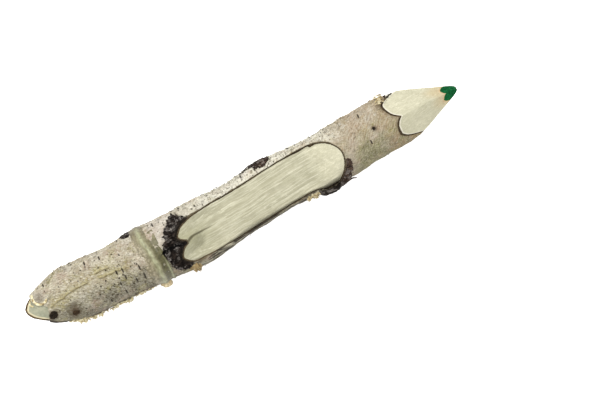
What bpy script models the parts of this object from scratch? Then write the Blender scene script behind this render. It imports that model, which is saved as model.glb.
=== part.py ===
"""Bark-covered pencil: a length of birch twig, drilled for a thick coloured lead, with a flat carved
on one side, a point cut by knife and a slanting cut at the butt. Lengths are in metres, +Z is up."""
import math

import bmesh
import bpy
import numpy as np
from mathutils import Quaternion, Vector

MM = 0.001

# Lengths along the twig, in order from the nose of the butt to the tip of the lead
BUTT_LENGTH = 39.6 * MM
BAND_WIDTH = 5.2 * MM
BAND_TO_PLAQUE = 6.8 * MM
PLAQUE_LENGTH = 58.0 * MM
FRONT_LENGTH = 17.8 * MM
POINT_LENGTH = 22.6 * MM

# The twig, its layers and the gap that pieces in contact keep
TWIG_RADIUS = 8.7 * MM
OUTER_BARK = 0.45 * MM
INNER_BARK = 0.35 * MM
PITH_RADIUS = 1.0 * MM
SEAM = 0.12 * MM
TWIG_SIDES = 24
STEPS_PER_STATION = 2

# Shape of the twig: its bend to the side, and its swelling as a share of the radius
BUTT_BEND = -0.5 * MM
BUTT_SWELL = 1.03
BAND_BEND = -1.1 * MM
BAND_SWELL = 1.03
SHOULDER_BEND = 1.5 * MM
SHOULDER_SWELL = 0.955
TIP_BEND = 1.25 * MM
TIP_SWELL = 0.93
PLAQUE_REAR_BEND = -1.3 * MM
PLAQUE_REAR_SWELL = 1.10
PLAQUE_MIDDLE_BEND = -0.5 * MM
PLAQUE_MIDDLE_SWELL = 0.995
PLAQUE_FRONT_BEND = 0.4 * MM
PLAQUE_FRONT_SWELL = 0.98
# How far the raw twig runs past the cuts at both ends
OVERRUN = 6.0 * MM
SHARP_ANGLE = math.radians(25.0)

# The lead in its bore
LEAD_RADIUS = 2.5 * MM
LEAD_LENGTH = 95.0 * MM
GLUE_FILM = 0.15 * MM
GLUE_PLUG = 1.5 * MM

# The carved flat: its depth under the bark, how it is turned, and the run-out at each end
PLAQUE_DEPTH = 2.8 * MM
PLAQUE_ROLL = math.radians(6.6)
PLAQUE_PITCH = math.radians(3.0)
PLAQUE_FRONT_RUN = 9.0 * MM
PLAQUE_REAR_RUN = 5.4 * MM
RUN_OUT_STEPS = 8
# Two gouge strokes end the flat at the rear: how far each lies from its middle line, and its rise
GOUGE_RADIUS = 8.0 * MM
GOUGE_STROKE = 32.0 * MM
GOUGE_LEDGE = 0.06 * MM
UPPER_GOUGE_OFFSET = 2.0 * MM
UPPER_GOUGE_RISE = math.radians(27.0)
LOWER_GOUGE_OFFSET = -4.8 * MM
LOWER_GOUGE_RISE = math.radians(16.0)

# The knife point: five flat facets down to a blunt tip
POINT_FACETS = 5
POINT_TURN = math.radians(-2.0)
POINT_OFFSET = 0.7 * MM
TIP_FLAT = 0.5 * MM

# The slanting cut at the butt, facing down and back
BUTT_ANGLE = math.radians(28.0)
BUTT_ROLL = math.radians(-8.0)

# The band and its nub
BAND_RISE = 0.5 * MM
BAND_TAPER = 0.8 * MM
NUB_RADIUS = 1.75 * MM
NUB_REACH = 0.3 * MM
NUB_AZIMUTH = math.radians(94.0)
NUB_SEGMENTS = 16
NUB_RINGS = 10

# Torn bark, flakes and fringe
CRUST_RISE = 0.3 * MM
DARK_FLAKE = 0.65 * MM
PAPER_FLAKE = 0.4 * MM
LOOSE_FLAKE = 0.8 * MM
FRINGE_START = 19.0 * MM
FRINGE_END_GAP = 0.5 * MM
FRINGE_TEETH = 9
FRINGE_ROOT = 0.35 * MM
FRINGE_REACH = 1.4 * MM
# Each tooth: how unlike the lengths are, how they follow each other, and its root and tip in the pitch
FRINGE_UNEVEN = 0.45
FRINGE_RHYTHM = 1.7
TOOTH_ROOT = 0.15
TOOTH_TIP = 0.6
FRINGE_SHEET = 0.6 * MM
FRINGE_DROP = 0.45 * MM

# Knots: distance from the nose or from the shoulder, azimuth from the top towards -Y, radius
BUTT_KNOT_FROM_NOSE = 7.0 * MM
BUTT_KNOT_AZIMUTH = math.radians(25.0)
BUTT_KNOT_RADIUS = 1.05 * MM
SIDE_KNOT_FROM_NOSE = 13.7 * MM
SIDE_KNOT_AZIMUTH = math.radians(37.0)
SIDE_KNOT_RADIUS = 1.45 * MM
FRONT_KNOT_FROM_SHOULDER = 5.9 * MM
FRONT_KNOT_AZIMUTH = math.radians(-5.0)
FRONT_KNOT_RADIUS = 0.7 * MM
KNOT_DEPTH = 2.2 * MM
KNOT_TAPER = 0.7
KNOT_PROUD = 0.15 * MM
KNOT_SIDES = 16

# Outlines seen from above: along the twig from the place they belong to, and across in radii
REAR_CRUST = ((-0.4 * MM, 0.86), (-4.3 * MM, 0.32), (-5.8 * MM, -0.1), (-4.9 * MM, -0.6),
              (-1.2 * MM, -0.88), (5.0 * MM, -0.9), (7.3 * MM, -0.1), (5.8 * MM, 0.9))
FRONT_CRUST = ((-11.6 * MM, -0.9), (-9.0 * MM, -0.985), (-4.3 * MM, -0.985), (0.4 * MM, -0.98),
               (1.4 * MM, -0.45), (-0.8 * MM, -0.25), (-4.0 * MM, -0.6))
NOSE_PATCH = ((-3.0 * MM, 0.8), (2.2 * MM, 0.8), (3.8 * MM, 0.5), (6.0 * MM, 0.15), (5.4 * MM, -0.42),
              (2.5 * MM, -0.62), (1.0 * MM, -0.8), (-3.0 * MM, -0.8))
PAPER_CURL = ((2.4 * MM, 0.6), (4.6 * MM, 0.76), (6.9 * MM, 0.62), (7.6 * MM, 0.16), (6.3 * MM, 0.14),
              (5.0 * MM, 0.52))
UPPER_FLAKE = ((26.6 * MM, 0.99), (29.0 * MM, 1.2), (36.0 * MM, 1.2), (36.4 * MM, 0.84), (33.2 * MM, 0.8),
               (30.5 * MM, 0.9))
BAND_FLAKE = ((-4.1 * MM, 0.86), (-3.6 * MM, 1.2), (-0.4 * MM, 1.2), (-0.5 * MM, 0.84), (-2.4 * MM, 0.8))
REAR_PAPER = ((0.0 * MM, -0.96), (-0.5 * MM, -1.3), (3.2 * MM, -1.3), (3.8 * MM, -0.97), (1.8 * MM, -0.94))
FRONT_PAPER = ((-16.0 * MM, -0.84), (-15.6 * MM, -1.2), (-12.3 * MM, -1.2), (-12.0 * MM, -0.9),
               (-14.0 * MM, -0.8))
SHOULDER_PAPER = ((-1.6 * MM, 1.2), (-2.0 * MM, 0.76), (1.2 * MM, 0.68), (1.9 * MM, 1.2))
# Heights of the areas they cover, in radii from the centre line: over the top, or on one side
CLEAR_OF_BARK = 1.5
OVER_TOP = (0.0, CLEAR_OF_BARK)
UPPER_SIDE = (-0.2, 0.6)
LOWER_SIDE = (-0.3, 0.4)

# Places along the twig
BAND_START = BUTT_LENGTH
BAND_END = BAND_START + BAND_WIDTH
PLAQUE_START = BAND_END + BAND_TO_PLAQUE
PLAQUE_END = PLAQUE_START + PLAQUE_LENGTH
SHOULDER = PLAQUE_END + FRONT_LENGTH
TIP = SHOULDER + POINT_LENGTH

# Depths of the layers under the bark's surface, and the bore
INNER_BARK_TOP = OUTER_BARK + SEAM
INNER_BARK_BOTTOM = INNER_BARK_TOP + INNER_BARK
WOOD_TOP = INNER_BARK_BOTTOM + SEAM
GLUE_RADIUS = LEAD_RADIUS + SEAM + GLUE_FILM
BORE_RADIUS = GLUE_RADIUS + SEAM

for stale in list(bpy.data.objects):
    bpy.data.objects.remove(stale)

PARTS = bpy.data.collections.new("bark_covered_pencil")
CUTTERS = bpy.data.collections.new("cutters")
bpy.context.scene.collection.children.link(PARTS)
bpy.context.scene.collection.children.link(CUTTERS)

ORIGIN = bpy.data.objects.new("pencil_origin", None)
PARTS.objects.link(ORIGIN)


def twig_stations():
    """Place along the twig, bend to the side and radius, at each station of its centre line."""
    rows = [
        (-OVERRUN, BUTT_BEND, BUTT_SWELL),
        (BAND_START / 2, (BUTT_BEND + BAND_BEND) / 2, BUTT_SWELL),
        (BAND_START, BAND_BEND, BAND_SWELL),
    ]
    rows += [
        (PLAQUE_START + 0.09 * PLAQUE_LENGTH, PLAQUE_REAR_BEND, PLAQUE_REAR_SWELL),
        (PLAQUE_START + 0.39 * PLAQUE_LENGTH, PLAQUE_MIDDLE_BEND, PLAQUE_MIDDLE_SWELL),
        (PLAQUE_START + 0.63 * PLAQUE_LENGTH, PLAQUE_FRONT_BEND, PLAQUE_MIDDLE_SWELL),
        (PLAQUE_START + 0.89 * PLAQUE_LENGTH, PLAQUE_FRONT_BEND, PLAQUE_FRONT_SWELL),
        (SHOULDER - FRONT_LENGTH / 2, (PLAQUE_FRONT_BEND + SHOULDER_BEND) / 2, SHOULDER_SWELL),
        (SHOULDER, SHOULDER_BEND, SHOULDER_SWELL),
        (TIP + OVERRUN, TIP_BEND, TIP_SWELL),
    ]
    return [(along, bend, swell * TWIG_RADIUS) for along, bend, swell in rows]


def twig_radius(along):
    places, _, radii = zip(*twig_stations())
    return float(np.interp(along, places, radii))


def twig_centre(along):
    """Point of the centre line; the twig lies on its band and on its front end."""
    places, bends, _ = zip(*twig_stations())
    lift = (SEAM + BAND_RISE) * (SHOULDER - along) / (SHOULDER - BAND_END)
    return Vector((along, float(np.interp(along, places, bends)), twig_radius(along) + lift))


def around(azimuth):
    """Direction square to the twig, turned from straight up towards -Y."""
    return Vector((0.0, -math.sin(azimuth), math.cos(azimuth)))


def principled(name, colour, roughness, metallic=0.0):
    material = bpy.data.materials.new(name)
    material.use_nodes = True
    shader = material.node_tree.nodes["Principled BSDF"]
    shader.inputs["Base Color"].default_value = (*colour, 1.0)
    shader.inputs["Roughness"].default_value = roughness
    shader.inputs["Metallic"].default_value = metallic
    return material


MATERIALS = {
    "lead": principled("green_lead", (0.010, 0.130, 0.035), 0.55),
    "glue": principled("cured_glue", (0.55, 0.42, 0.20), 0.35),
    "pith": principled("pith", (0.26, 0.16, 0.08), 0.9),
    "wood": principled("pale_birch", (0.72, 0.68, 0.48), 0.7),
    "inner_bark": principled("brown_bast", (0.085, 0.045, 0.022), 0.85),
    "outer_bark": principled("papery_bark", (0.46, 0.40, 0.29), 0.8),
    "resin": principled("clear_resin", (0.50, 0.46, 0.30), 0.3),
    "crust": principled("torn_bark", (0.030, 0.022, 0.016), 0.95),
    "paper": principled("cream_paper_bark", (0.60, 0.50, 0.33), 0.8),
    "knot": principled("dark_knot", (0.050, 0.034, 0.020), 0.9),
}


def place(piece, collection):
    collection.objects.link(piece)
    if piece.parent is None:
        piece.parent = ORIGIN
    if collection is CUTTERS:
        piece.hide_render = True
        piece.display_type = 'WIRE'
    return piece


def meshed(curve_object):
    """Turn a curve into a welded mesh of the same place, and remove the curve."""
    bpy.context.scene.collection.objects.link(curve_object)
    ready = curve_object.evaluated_get(bpy.context.evaluated_depsgraph_get())
    mesh = bpy.data.meshes.new_from_object(ready)
    cage = bmesh.new()
    cage.from_mesh(mesh)
    bmesh.ops.remove_doubles(cage, verts=cage.verts, dist=0.001 * MM)
    bmesh.ops.recalc_face_normals(cage, faces=cage.faces)
    cage.to_mesh(mesh)
    cage.free()
    name, matrix = curve_object.name, curve_object.matrix_world.copy()
    bpy.data.objects.remove(curve_object)
    piece = bpy.data.objects.new(name, mesh)
    piece.matrix_world = matrix
    return piece


def twig_tube(name, depth, collection=CUTTERS, radius=None):
    """Solid tube along the twig, this deep under its bark, or of one radius all along."""
    curve = bpy.data.curves.new(name, 'CURVE')
    curve.dimensions = '3D'
    curve.bevel_depth = MM
    curve.bevel_resolution = (TWIG_SIDES - 4) // 2
    curve.use_fill_caps = True
    curve.resolution_u = STEPS_PER_STATION
    spline = curve.splines.new('BEZIER')
    stations = twig_stations()
    spline.bezier_points.add(len(stations) - 1)
    spline.radius_interpolation = 'CARDINAL'
    for point, (along, _, bark_radius) in zip(spline.bezier_points, stations):
        point.co = twig_centre(along)
        point.handle_left_type = 'AUTO'
        point.handle_right_type = 'AUTO'
        point.radius = (radius if radius else bark_radius - depth) / MM
    return place(meshed(bpy.data.objects.new(name, curve)), collection)


def prism(name, outline, bottom, top):
    """Flat outline in the XY plane, extruded from one height to another."""
    curve = bpy.data.curves.new(name, 'CURVE')
    curve.dimensions = '2D'
    curve.fill_mode = 'BOTH'
    curve.extrude = (top - bottom) / 2
    spline = curve.splines.new('POLY')
    spline.points.add(len(outline) - 1)
    spline.use_cyclic_u = True
    for point, (x, y) in zip(spline.points, outline):
        point.co = (x, y, 0.0, 1.0)
    piece = bpy.data.objects.new(name, curve)
    piece.location.z = (top + bottom) / 2
    return piece


def zone(name, anchor, outline, heights, grow=0.0):
    """Upright prism over part of the twig: outline along it and in radii across, heights in radii."""
    corners = []
    for along, across in outline:
        centre = twig_centre(anchor + along)
        corners.append(Vector((centre.x, centre.y + across * twig_radius(centre.x))))
    middle = sum(corners, Vector((0.0, 0.0))) / len(corners)
    corners = [corner + (corner - middle).normalized() * grow for corner in corners]
    axis, radius = twig_centre(anchor).z, twig_radius(anchor)
    low, high = heights
    piece = prism(name, corners, axis + radius * low, axis + radius * high)
    return place(meshed(piece), CUTTERS)


def rod(name, start, end, radius, collection=CUTTERS):
    """Straight round bar between two points."""
    run = end - start
    cage = bmesh.new()
    bmesh.ops.create_cone(cage, cap_ends=True, segments=TWIG_SIDES, radius1=radius, radius2=radius,
                          depth=run.length)
    mesh = bpy.data.meshes.new(name)
    cage.to_mesh(mesh)
    cage.free()
    piece = bpy.data.objects.new(name, mesh)
    piece.rotation_mode = 'QUATERNION'
    piece.rotation_quaternion = run.to_track_quat('Z', 'Y')
    piece.location = (start + end) / 2
    return place(piece, collection)


def boolean(piece, cutter, operation='DIFFERENCE'):
    modifier = piece.modifiers.new(cutter.name, 'BOOLEAN')
    modifier.operation = operation
    modifier.solver = 'EXACT'
    modifier.object = cutter


def finish(piece, material):
    piece.data.materials.clear()
    piece.data.materials.append(MATERIALS[material])
    piece.data.shade_smooth()
    piece.data.set_sharp_from_angle(angle=SHARP_ANGLE)


def point_envelope():
    """Tapered bar whose sides are the knife facets and whose end is the blunt tip, cut a little askew."""
    tip = twig_centre(TIP)
    shoulder = twig_centre(SHOULDER) - Vector((0.0, POINT_OFFSET, 0.0))
    direction = (tip - shoulder).normalized()
    length = TIP + OVERRUN
    slope = (twig_radius(SHOULDER) - TIP_FLAT) / POINT_LENGTH
    corner = 1.0 / math.cos(math.pi / POINT_FACETS)
    cage = bmesh.new()
    bmesh.ops.create_cone(cage, cap_ends=True, segments=POINT_FACETS, depth=length,
                          radius1=(TIP_FLAT + slope * length) * corner, radius2=TIP_FLAT * corner)
    mesh = bpy.data.meshes.new("point_envelope")
    cage.to_mesh(mesh)
    cage.free()
    piece = bpy.data.objects.new("point_envelope", mesh)
    piece.rotation_mode = 'QUATERNION'
    piece.rotation_quaternion = direction.to_track_quat('Z', 'Y') @ Quaternion((0.0, 0.0, 1.0), POINT_TURN)
    piece.location = tip - direction * length / 2
    return place(piece, CUTTERS)


def butt_cutter():
    """Block whose upper face is the slanting cut through the nose of the butt."""
    size = 4 * BUTT_LENGTH
    cage = bmesh.new()
    bmesh.ops.create_cube(cage, size=size)
    mesh = bpy.data.meshes.new("butt_cut")
    cage.to_mesh(mesh)
    cage.free()
    piece = bpy.data.objects.new("butt_cut", mesh)
    piece.rotation_euler = (BUTT_ROLL, BUTT_ANGLE, 0.0)
    nose = twig_centre(0.0) + twig_radius(0.0) * around(BUTT_ROLL)
    upward = piece.rotation_euler.to_matrix() @ Vector((0.0, 0.0, 1.0))
    piece.location = nose - upward * size / 2
    return place(piece, CUTTERS)


def plaque_cutters():
    """The carved flat with its curved run-out at the front, and the two gouge strokes at the rear."""
    gouges = ((UPPER_GOUGE_OFFSET, UPPER_GOUGE_RISE), (LOWER_GOUGE_OFFSET, LOWER_GOUGE_RISE))
    middle = (PLAQUE_START + PLAQUE_END) / 2
    radius = twig_radius(middle)
    frame = bpy.data.objects.new("plaque_frame", None)
    frame.location = twig_centre(middle)
    frame.rotation_euler = (PLAQUE_ROLL, PLAQUE_PITCH, 0.0)
    frame.parent = ORIGIN
    CUTTERS.objects.link(frame)

    level = radius - PLAQUE_DEPTH
    rear = PLAQUE_START + PLAQUE_REAR_RUN - middle
    front = PLAQUE_END - PLAQUE_FRONT_RUN - middle
    bend = (PLAQUE_FRONT_RUN ** 2 + PLAQUE_DEPTH ** 2) / (2 * PLAQUE_DEPTH)
    sweep = math.acos(1.0 - 2 * PLAQUE_DEPTH / bend)
    outline = [(rear, level)]
    for step in range(RUN_OUT_STEPS + 1):
        angle = sweep * step / RUN_OUT_STEPS
        outline.append((front + bend * math.sin(angle), level + bend * (1.0 - math.cos(angle))))
    outline += [(outline[-1][0], level + 2 * radius), (rear, level + 2 * radius)]
    trough = meshed(prism("plaque_trough", outline, -2 * radius, 2 * radius))
    trough.rotation_euler = (math.pi / 2, 0.0, 0.0)
    trough.location = (0.0, 0.0, 0.0)
    trough.parent = frame
    cutters = [place(trough, CUTTERS)]

    for number, (offset, rise) in enumerate(gouges, start=1):
        back = Vector((-math.cos(rise), 0.0, math.sin(rise)))
        lift = Vector((math.sin(rise), 0.0, math.cos(rise))) * GOUGE_RADIUS
        start = Vector((rear + GOUGE_LEDGE, offset, level + GOUGE_LEDGE)) + lift
        stroke = rod(f"plaque_gouge_{number}", start, start + back * GOUGE_STROKE, GOUGE_RADIUS)
        stroke.parent = frame
        cutters.append(stroke)
    return cutters


def cone(name, along, azimuth, radius, depth, proud, collection):
    """Tapered plug pushed square into the twig, its wide end outside."""
    outward = around(azimuth)
    cage = bmesh.new()
    bmesh.ops.create_cone(cage, cap_ends=True, segments=KNOT_SIDES, radius1=radius * KNOT_TAPER,
                          radius2=radius, depth=depth + proud)
    mesh = bpy.data.meshes.new(name)
    cage.to_mesh(mesh)
    cage.free()
    piece = bpy.data.objects.new(name, mesh)
    piece.rotation_euler = (azimuth, 0.0, 0.0)
    piece.location = twig_centre(along) + outward * (twig_radius(along) + (proud - depth) / 2)
    return place(piece, collection)


def knot(name, along, azimuth, radius):
    """A knot, and the hole it fills."""
    plug = cone(name, along, azimuth, radius, KNOT_DEPTH, KNOT_PROUD, PARTS)
    finish(plug, "knot")
    return cone(name + "_hole", along, azimuth, radius + SEAM, KNOT_DEPTH + SEAM, KNOT_PROUD + SEAM, CUTTERS)


def layer(name, material, top, cuts, core=None):
    """One grown layer of the twig, trimmed by the point and the cuts, with its core taken out."""
    piece = twig_tube(name, top, PARTS)
    boolean(piece, POINT, 'INTERSECT')
    boolean(piece, BUTT)
    if core:
        boolean(piece, core)
    for cutter in cuts:
        boolean(piece, cutter)
    finish(piece, material)
    return piece


def patch(name, material, area, bottom, top, cuts=()):
    """Piece of bark that lies over part of the twig, between two heights above its surface."""
    piece = twig_tube(name, -top, PARTS)
    boolean(piece, area, 'INTERSECT')
    for cutter in cuts:
        boolean(piece, cutter)
    boolean(piece, twig_tube(name + "_seat", -bottom))
    finish(piece, material)
    return piece


def fringe_outline():
    """Torn edge of the fringe: teeth of uneven length along the lower side of the butt."""
    radius = twig_radius(FRINGE_START)
    pitch = (BAND_START - FRINGE_END_GAP - FRINGE_START) / FRINGE_TEETH
    seat = -1.0 + FRINGE_REACH / radius
    root = -1.0 - FRINGE_ROOT / radius
    points = [(0.0, seat)]
    for tooth in range(FRINGE_TEETH):
        reach = FRINGE_REACH * (1.0 - FRINGE_UNEVEN * (1.0 - abs(math.sin(FRINGE_RHYTHM * tooth))))
        points.append(((tooth + TOOTH_ROOT) * pitch, root))
        points.append(((tooth + TOOTH_TIP) * pitch, -1.0 - reach / radius))
    end = FRINGE_TEETH * pitch
    return points + [(end, root), (end, seat)]


def resin_band():
    """Ring round the twig, narrower on the lower side, with a rounded nub below."""
    outline = ((0.0, CLEAR_OF_BARK), (BAND_WIDTH, CLEAR_OF_BARK),
               (BAND_WIDTH - BAND_TAPER / 2, -CLEAR_OF_BARK), (BAND_TAPER, -CLEAR_OF_BARK))
    area = zone("band_area", BAND_START, outline, (-CLEAR_OF_BARK, CLEAR_OF_BARK))
    ring = twig_tube("resin_band", -(SEAM + BAND_RISE), PARTS)
    boolean(ring, area, 'INTERSECT')
    middle = BAND_START + BAND_WIDTH / 2 + BAND_TAPER / 4
    cage = bmesh.new()
    bmesh.ops.create_uvsphere(cage, u_segments=NUB_SEGMENTS, v_segments=NUB_RINGS, radius=NUB_RADIUS)
    mesh = bpy.data.meshes.new("band_nub")
    cage.to_mesh(mesh)
    cage.free()
    nub = bpy.data.objects.new("band_nub", mesh)
    nub.location = twig_centre(middle) + around(NUB_AZIMUTH) * (twig_radius(middle) + NUB_REACH)
    boolean(ring, place(nub, CUTTERS), 'UNION')
    boolean(ring, twig_tube("band_seat", -SEAM))
    finish(ring, "resin")


def lead_and_glue():
    """The lead in its cup of glue; returns the bore they fill."""
    tip = twig_centre(TIP)
    back = twig_centre(TIP - LEAD_LENGTH)
    along = (tip - back).normalized()
    ahead = tip + along * OVERRUN
    lead = rod("coloured_lead", back, ahead, LEAD_RADIUS, PARTS)
    boolean(lead, POINT, 'INTERSECT')
    finish(lead, "lead")
    glue = rod("lead_glue", back - along * GLUE_PLUG, ahead, GLUE_RADIUS, PARTS)
    boolean(glue, POINT, 'INTERSECT')
    boolean(glue, rod("lead_seat", back - along * SEAM, ahead + along * OVERRUN, LEAD_RADIUS + SEAM))
    finish(glue, "glue")
    return rod("lead_bore", back - along * (GLUE_PLUG + SEAM), ahead + along * OVERRUN, BORE_RADIUS)


def stand_on_floor():
    """Move the origin to the middle of the footprint, with the lowest point at zero height."""
    bpy.context.view_layer.update()
    graph = bpy.context.evaluated_depsgraph_get()
    corners = []
    for piece in PARTS.objects:
        if piece.type == 'MESH':
            ready = piece.evaluated_get(graph)
            corners += [ready.matrix_world @ vertex.co for vertex in ready.data.vertices]
    low = Vector([min(corner[axis] for corner in corners) for axis in range(3)])
    high = Vector([max(corner[axis] for corner in corners) for axis in range(3)])
    ORIGIN.location = (-(low.x + high.x) / 2, -(low.y + high.y) / 2, -low.z)


POINT = point_envelope()
BUTT = butt_cutter()
PLAQUE = plaque_cutters()

KNOT_HOLES = [
    knot("butt_knot", BUTT_KNOT_FROM_NOSE, BUTT_KNOT_AZIMUTH, BUTT_KNOT_RADIUS),
    knot("side_knot", SIDE_KNOT_FROM_NOSE, SIDE_KNOT_AZIMUTH, SIDE_KNOT_RADIUS),
    knot("front_knot", SHOULDER - FRONT_KNOT_FROM_SHOULDER, FRONT_KNOT_AZIMUTH, FRONT_KNOT_RADIUS),
]

bore = lead_and_glue()
pith_channel = twig_tube("pith_channel", 0.0, radius=PITH_RADIUS + SEAM)
layer("wood_stem", "wood", WOOD_TOP, [*PLAQUE, *KNOT_HOLES, bore, pith_channel])
pith = twig_tube("pith", 0.0, PARTS, radius=PITH_RADIUS)
for trim in (BUTT, bore):
    boolean(pith, trim)
finish(pith, "pith")

layer("inner_bark", "inner_bark", INNER_BARK_TOP, [*PLAQUE, *KNOT_HOLES],
      twig_tube("inner_bark_core", INNER_BARK_BOTTOM))

rear_gap = zone("rear_crust_gap", PLAQUE_START, REAR_CRUST, OVER_TOP, grow=SEAM)
front_gap = zone("front_crust_gap", PLAQUE_END, FRONT_CRUST, OVER_TOP, grow=SEAM)
nose_gap = zone("nose_patch", 0.0, NOSE_PATCH, OVER_TOP)
layer("outer_bark", "outer_bark", 0.0, [*PLAQUE, *KNOT_HOLES, rear_gap, front_gap, nose_gap],
      twig_tube("outer_bark_core", OUTER_BARK))

patch("rear_bark_crust", "crust", zone("rear_crust_area", PLAQUE_START, REAR_CRUST, OVER_TOP),
      -OUTER_BARK, CRUST_RISE, PLAQUE)
patch("front_bark_crust", "crust", zone("front_crust_area", PLAQUE_END, FRONT_CRUST, OVER_TOP),
      -OUTER_BARK, CRUST_RISE, PLAQUE)

resin_band()

patch("upper_bark_flake", "crust", zone("upper_flake_area", PLAQUE_START, UPPER_FLAKE, UPPER_SIDE),
      SEAM, SEAM + DARK_FLAKE)
patch("band_bark_flake", "crust", zone("band_flake_area", BAND_START, BAND_FLAKE, UPPER_SIDE),
      SEAM, SEAM + DARK_FLAKE)
patch("rear_paper_flake", "paper", zone("rear_paper_area", PLAQUE_START, REAR_PAPER, LOWER_SIDE),
      SEAM, SEAM + LOOSE_FLAKE)
patch("front_paper_flake", "paper", zone("front_paper_area", PLAQUE_END, FRONT_PAPER, LOWER_SIDE),
      SEAM, SEAM + LOOSE_FLAKE)
shoulder_flake = patch("shoulder_paper_flake", "paper",
                       zone("shoulder_paper_area", SHOULDER, SHOULDER_PAPER, UPPER_SIDE),
                       SEAM, SEAM + PAPER_FLAKE)
boolean(shoulder_flake, POINT, 'INTERSECT')
patch("butt_paper_curl", "paper", zone("paper_curl_area", 0.0, PAPER_CURL, OVER_TOP),
      SEAM, SEAM + PAPER_FLAKE)

fringe_top = -FRINGE_DROP / twig_radius(FRINGE_START)
fringe_bottom = fringe_top - FRINGE_SHEET / twig_radius(FRINGE_START)
fringe_area = zone("fringe_area", FRINGE_START, fringe_outline(), (fringe_bottom, fringe_top))
patch("butt_fringe", "paper", fringe_area, SEAM, SEAM + FRINGE_REACH + PAPER_FLAKE)

stand_on_floor()
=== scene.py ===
"""Looks of the bark-covered pencil: each layer of the twig, the torn bark, the band, the knots and the lead
as a detailed piece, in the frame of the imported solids. Pieces are shaped in millimetres, with the nose of the
butt at x = 0, and are turned into metres when they are placed."""
import math

import bmesh
import bpy
import numpy as np
from mathutils import Matrix, Vector
from mathutils.bvhtree import BVHTree


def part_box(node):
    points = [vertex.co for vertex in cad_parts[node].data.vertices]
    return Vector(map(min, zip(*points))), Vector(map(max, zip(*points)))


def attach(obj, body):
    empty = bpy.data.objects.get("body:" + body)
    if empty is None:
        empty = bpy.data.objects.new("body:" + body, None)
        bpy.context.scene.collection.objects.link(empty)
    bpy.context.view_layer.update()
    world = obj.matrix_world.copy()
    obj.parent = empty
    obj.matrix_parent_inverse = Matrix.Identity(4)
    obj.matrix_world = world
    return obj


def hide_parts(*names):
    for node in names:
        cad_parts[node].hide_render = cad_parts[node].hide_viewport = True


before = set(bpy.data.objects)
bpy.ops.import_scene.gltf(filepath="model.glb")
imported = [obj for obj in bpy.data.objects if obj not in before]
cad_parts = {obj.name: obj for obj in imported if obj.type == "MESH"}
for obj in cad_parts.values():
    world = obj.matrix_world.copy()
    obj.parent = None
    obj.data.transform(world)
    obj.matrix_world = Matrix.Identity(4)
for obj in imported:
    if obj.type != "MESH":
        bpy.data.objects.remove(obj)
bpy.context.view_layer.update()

MM = 0.001

# Places along the twig, as in the solids
BAND_START = 39.6
BAND_END = 44.8
PLAQUE_START = 51.6
PLAQUE_END = 109.6
SHOULDER = 127.4
TIP = 150.0

# Heights: the twig's sides, its upper half as seen from above, and clear of everything
SIDE_HEIGHT = 8.0
UPPER_HEIGHT = 9.0
CLEAR_HEIGHT = 30.0
UP = np.array([0.0, 0.0, 1.0])

# The twig: place along it, bend to the side, radius
TWIG_STATIONS = np.array((
    (-6.0, -0.5, 8.96),
    (19.8, -0.8, 8.96),
    (39.6, -1.1, 8.96),
    (56.8, -1.3, 9.57),
    (74.2, -0.5, 8.66),
    (88.1, 0.4, 8.66),
    (103.2, 0.4, 8.53),
    (118.5, 0.95, 8.31),
    (127.4, 1.5, 8.31),
    (156.0, 1.25, 8.09),
))
# Swells of the sides, seen from above: place along the twig, upper side, lower side
SIDE_SWELLS = np.array((
    (-6.0, 0.0, 0.0),
    (8.0, 0.2, 0.0),
    (14.5, 0.9, 0.2),
    (18.5, 0.4, 0.2),
    (24.0, 0.1, 0.3),
    (30.0, -0.4, 0.3),
    (37.0, 0.3, 0.2),
    (50.0, 0.1, 0.3),
    (63.0, -0.1, 0.8),
    (72.0, -0.1, 0.3),
    (82.0, 0.4, 0.1),
    (90.0, 0.0, -0.1),
    (101.5, -0.2, 0.3),
    (109.0, 0.3, 0.2),
    (120.0, 0.45, 0.0),
    (130.0, 0.2, 0.25),
    (156.0, 0.0, 0.0),
))
# How the bark falls away at the sides of the butt's nose
NOSE_FALL = 8.0
NOSE_FALL_LENGTH = 5.5
NOSE_FALL_MOST = 3.0
# Radius at which turns count as lengths, how far the band stands off the twig, and the twig's layers
MEAN_RADIUS = 8.7
BAND_STAND = 0.62
BARK = 0.45
BAST_AT_PLAQUE = 0.40
BAST_AT_POINT = 0.20
FILM = 0.01
PITH_RADIUS = 1.0

# The lead in its bore; rods on its axis end well past the tip
LEAD_RADIUS = 2.5
LEAD_BACK = TIP - 95.0
GLUE_FILM = 0.15
GLUE_PLUG = 1.5
ROD_END = 120.0
PITH_END = LEAD_BACK - GLUE_PLUG - 0.1

# The carved flat: its plane, the edge of its bare wood seen from above, and the slopes to that edge
PLAQUE_DEPTH = 3.1
PLAQUE_ROLL = math.radians(7.4)
PLAQUE_PITCH = math.radians(3.0)
PLAQUE_OUTLINE = (
    (56.6, -2.5), (53.8, -1.5), (52.6, -0.3), (53.9, 1.5), (56.9, 3.0), (63.6, 4.2), (72.1, 4.65),
    (77.5, 5.05), (85.2, 5.85), (96.0, 6.4), (102.2, 6.2), (106.9, 4.05), (109.3, -0.4), (107.8, -4.7),
    (104.5, -7.5), (100.9, -7.85), (97.4, -6.8), (90.6, -6.95), (77.5, -7.9), (67.4, -8.8), (57.4, -8.95),
    (53.1, -8.5), (51.4, -6.5), (52.6, -4.6), (56.6, -2.7),
)
PLAQUE_CROWN = 0.8
PLAQUE_CROWN_REACH = 6.0
PLAQUE_ROUNDING = 2.0
PLAQUE_REAR_SLOPE = 0.45
PLAQUE_SIDE_SLOPE = 1.2
PLAQUE_FRONT_SLOPE = 0.42
PLAQUE_RIM_SLOPE = 1.6
PLAQUE_REAR_RIM_SLOPE = 0.8
PLAQUE_LEAST_SLOPE = 0.1
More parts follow.
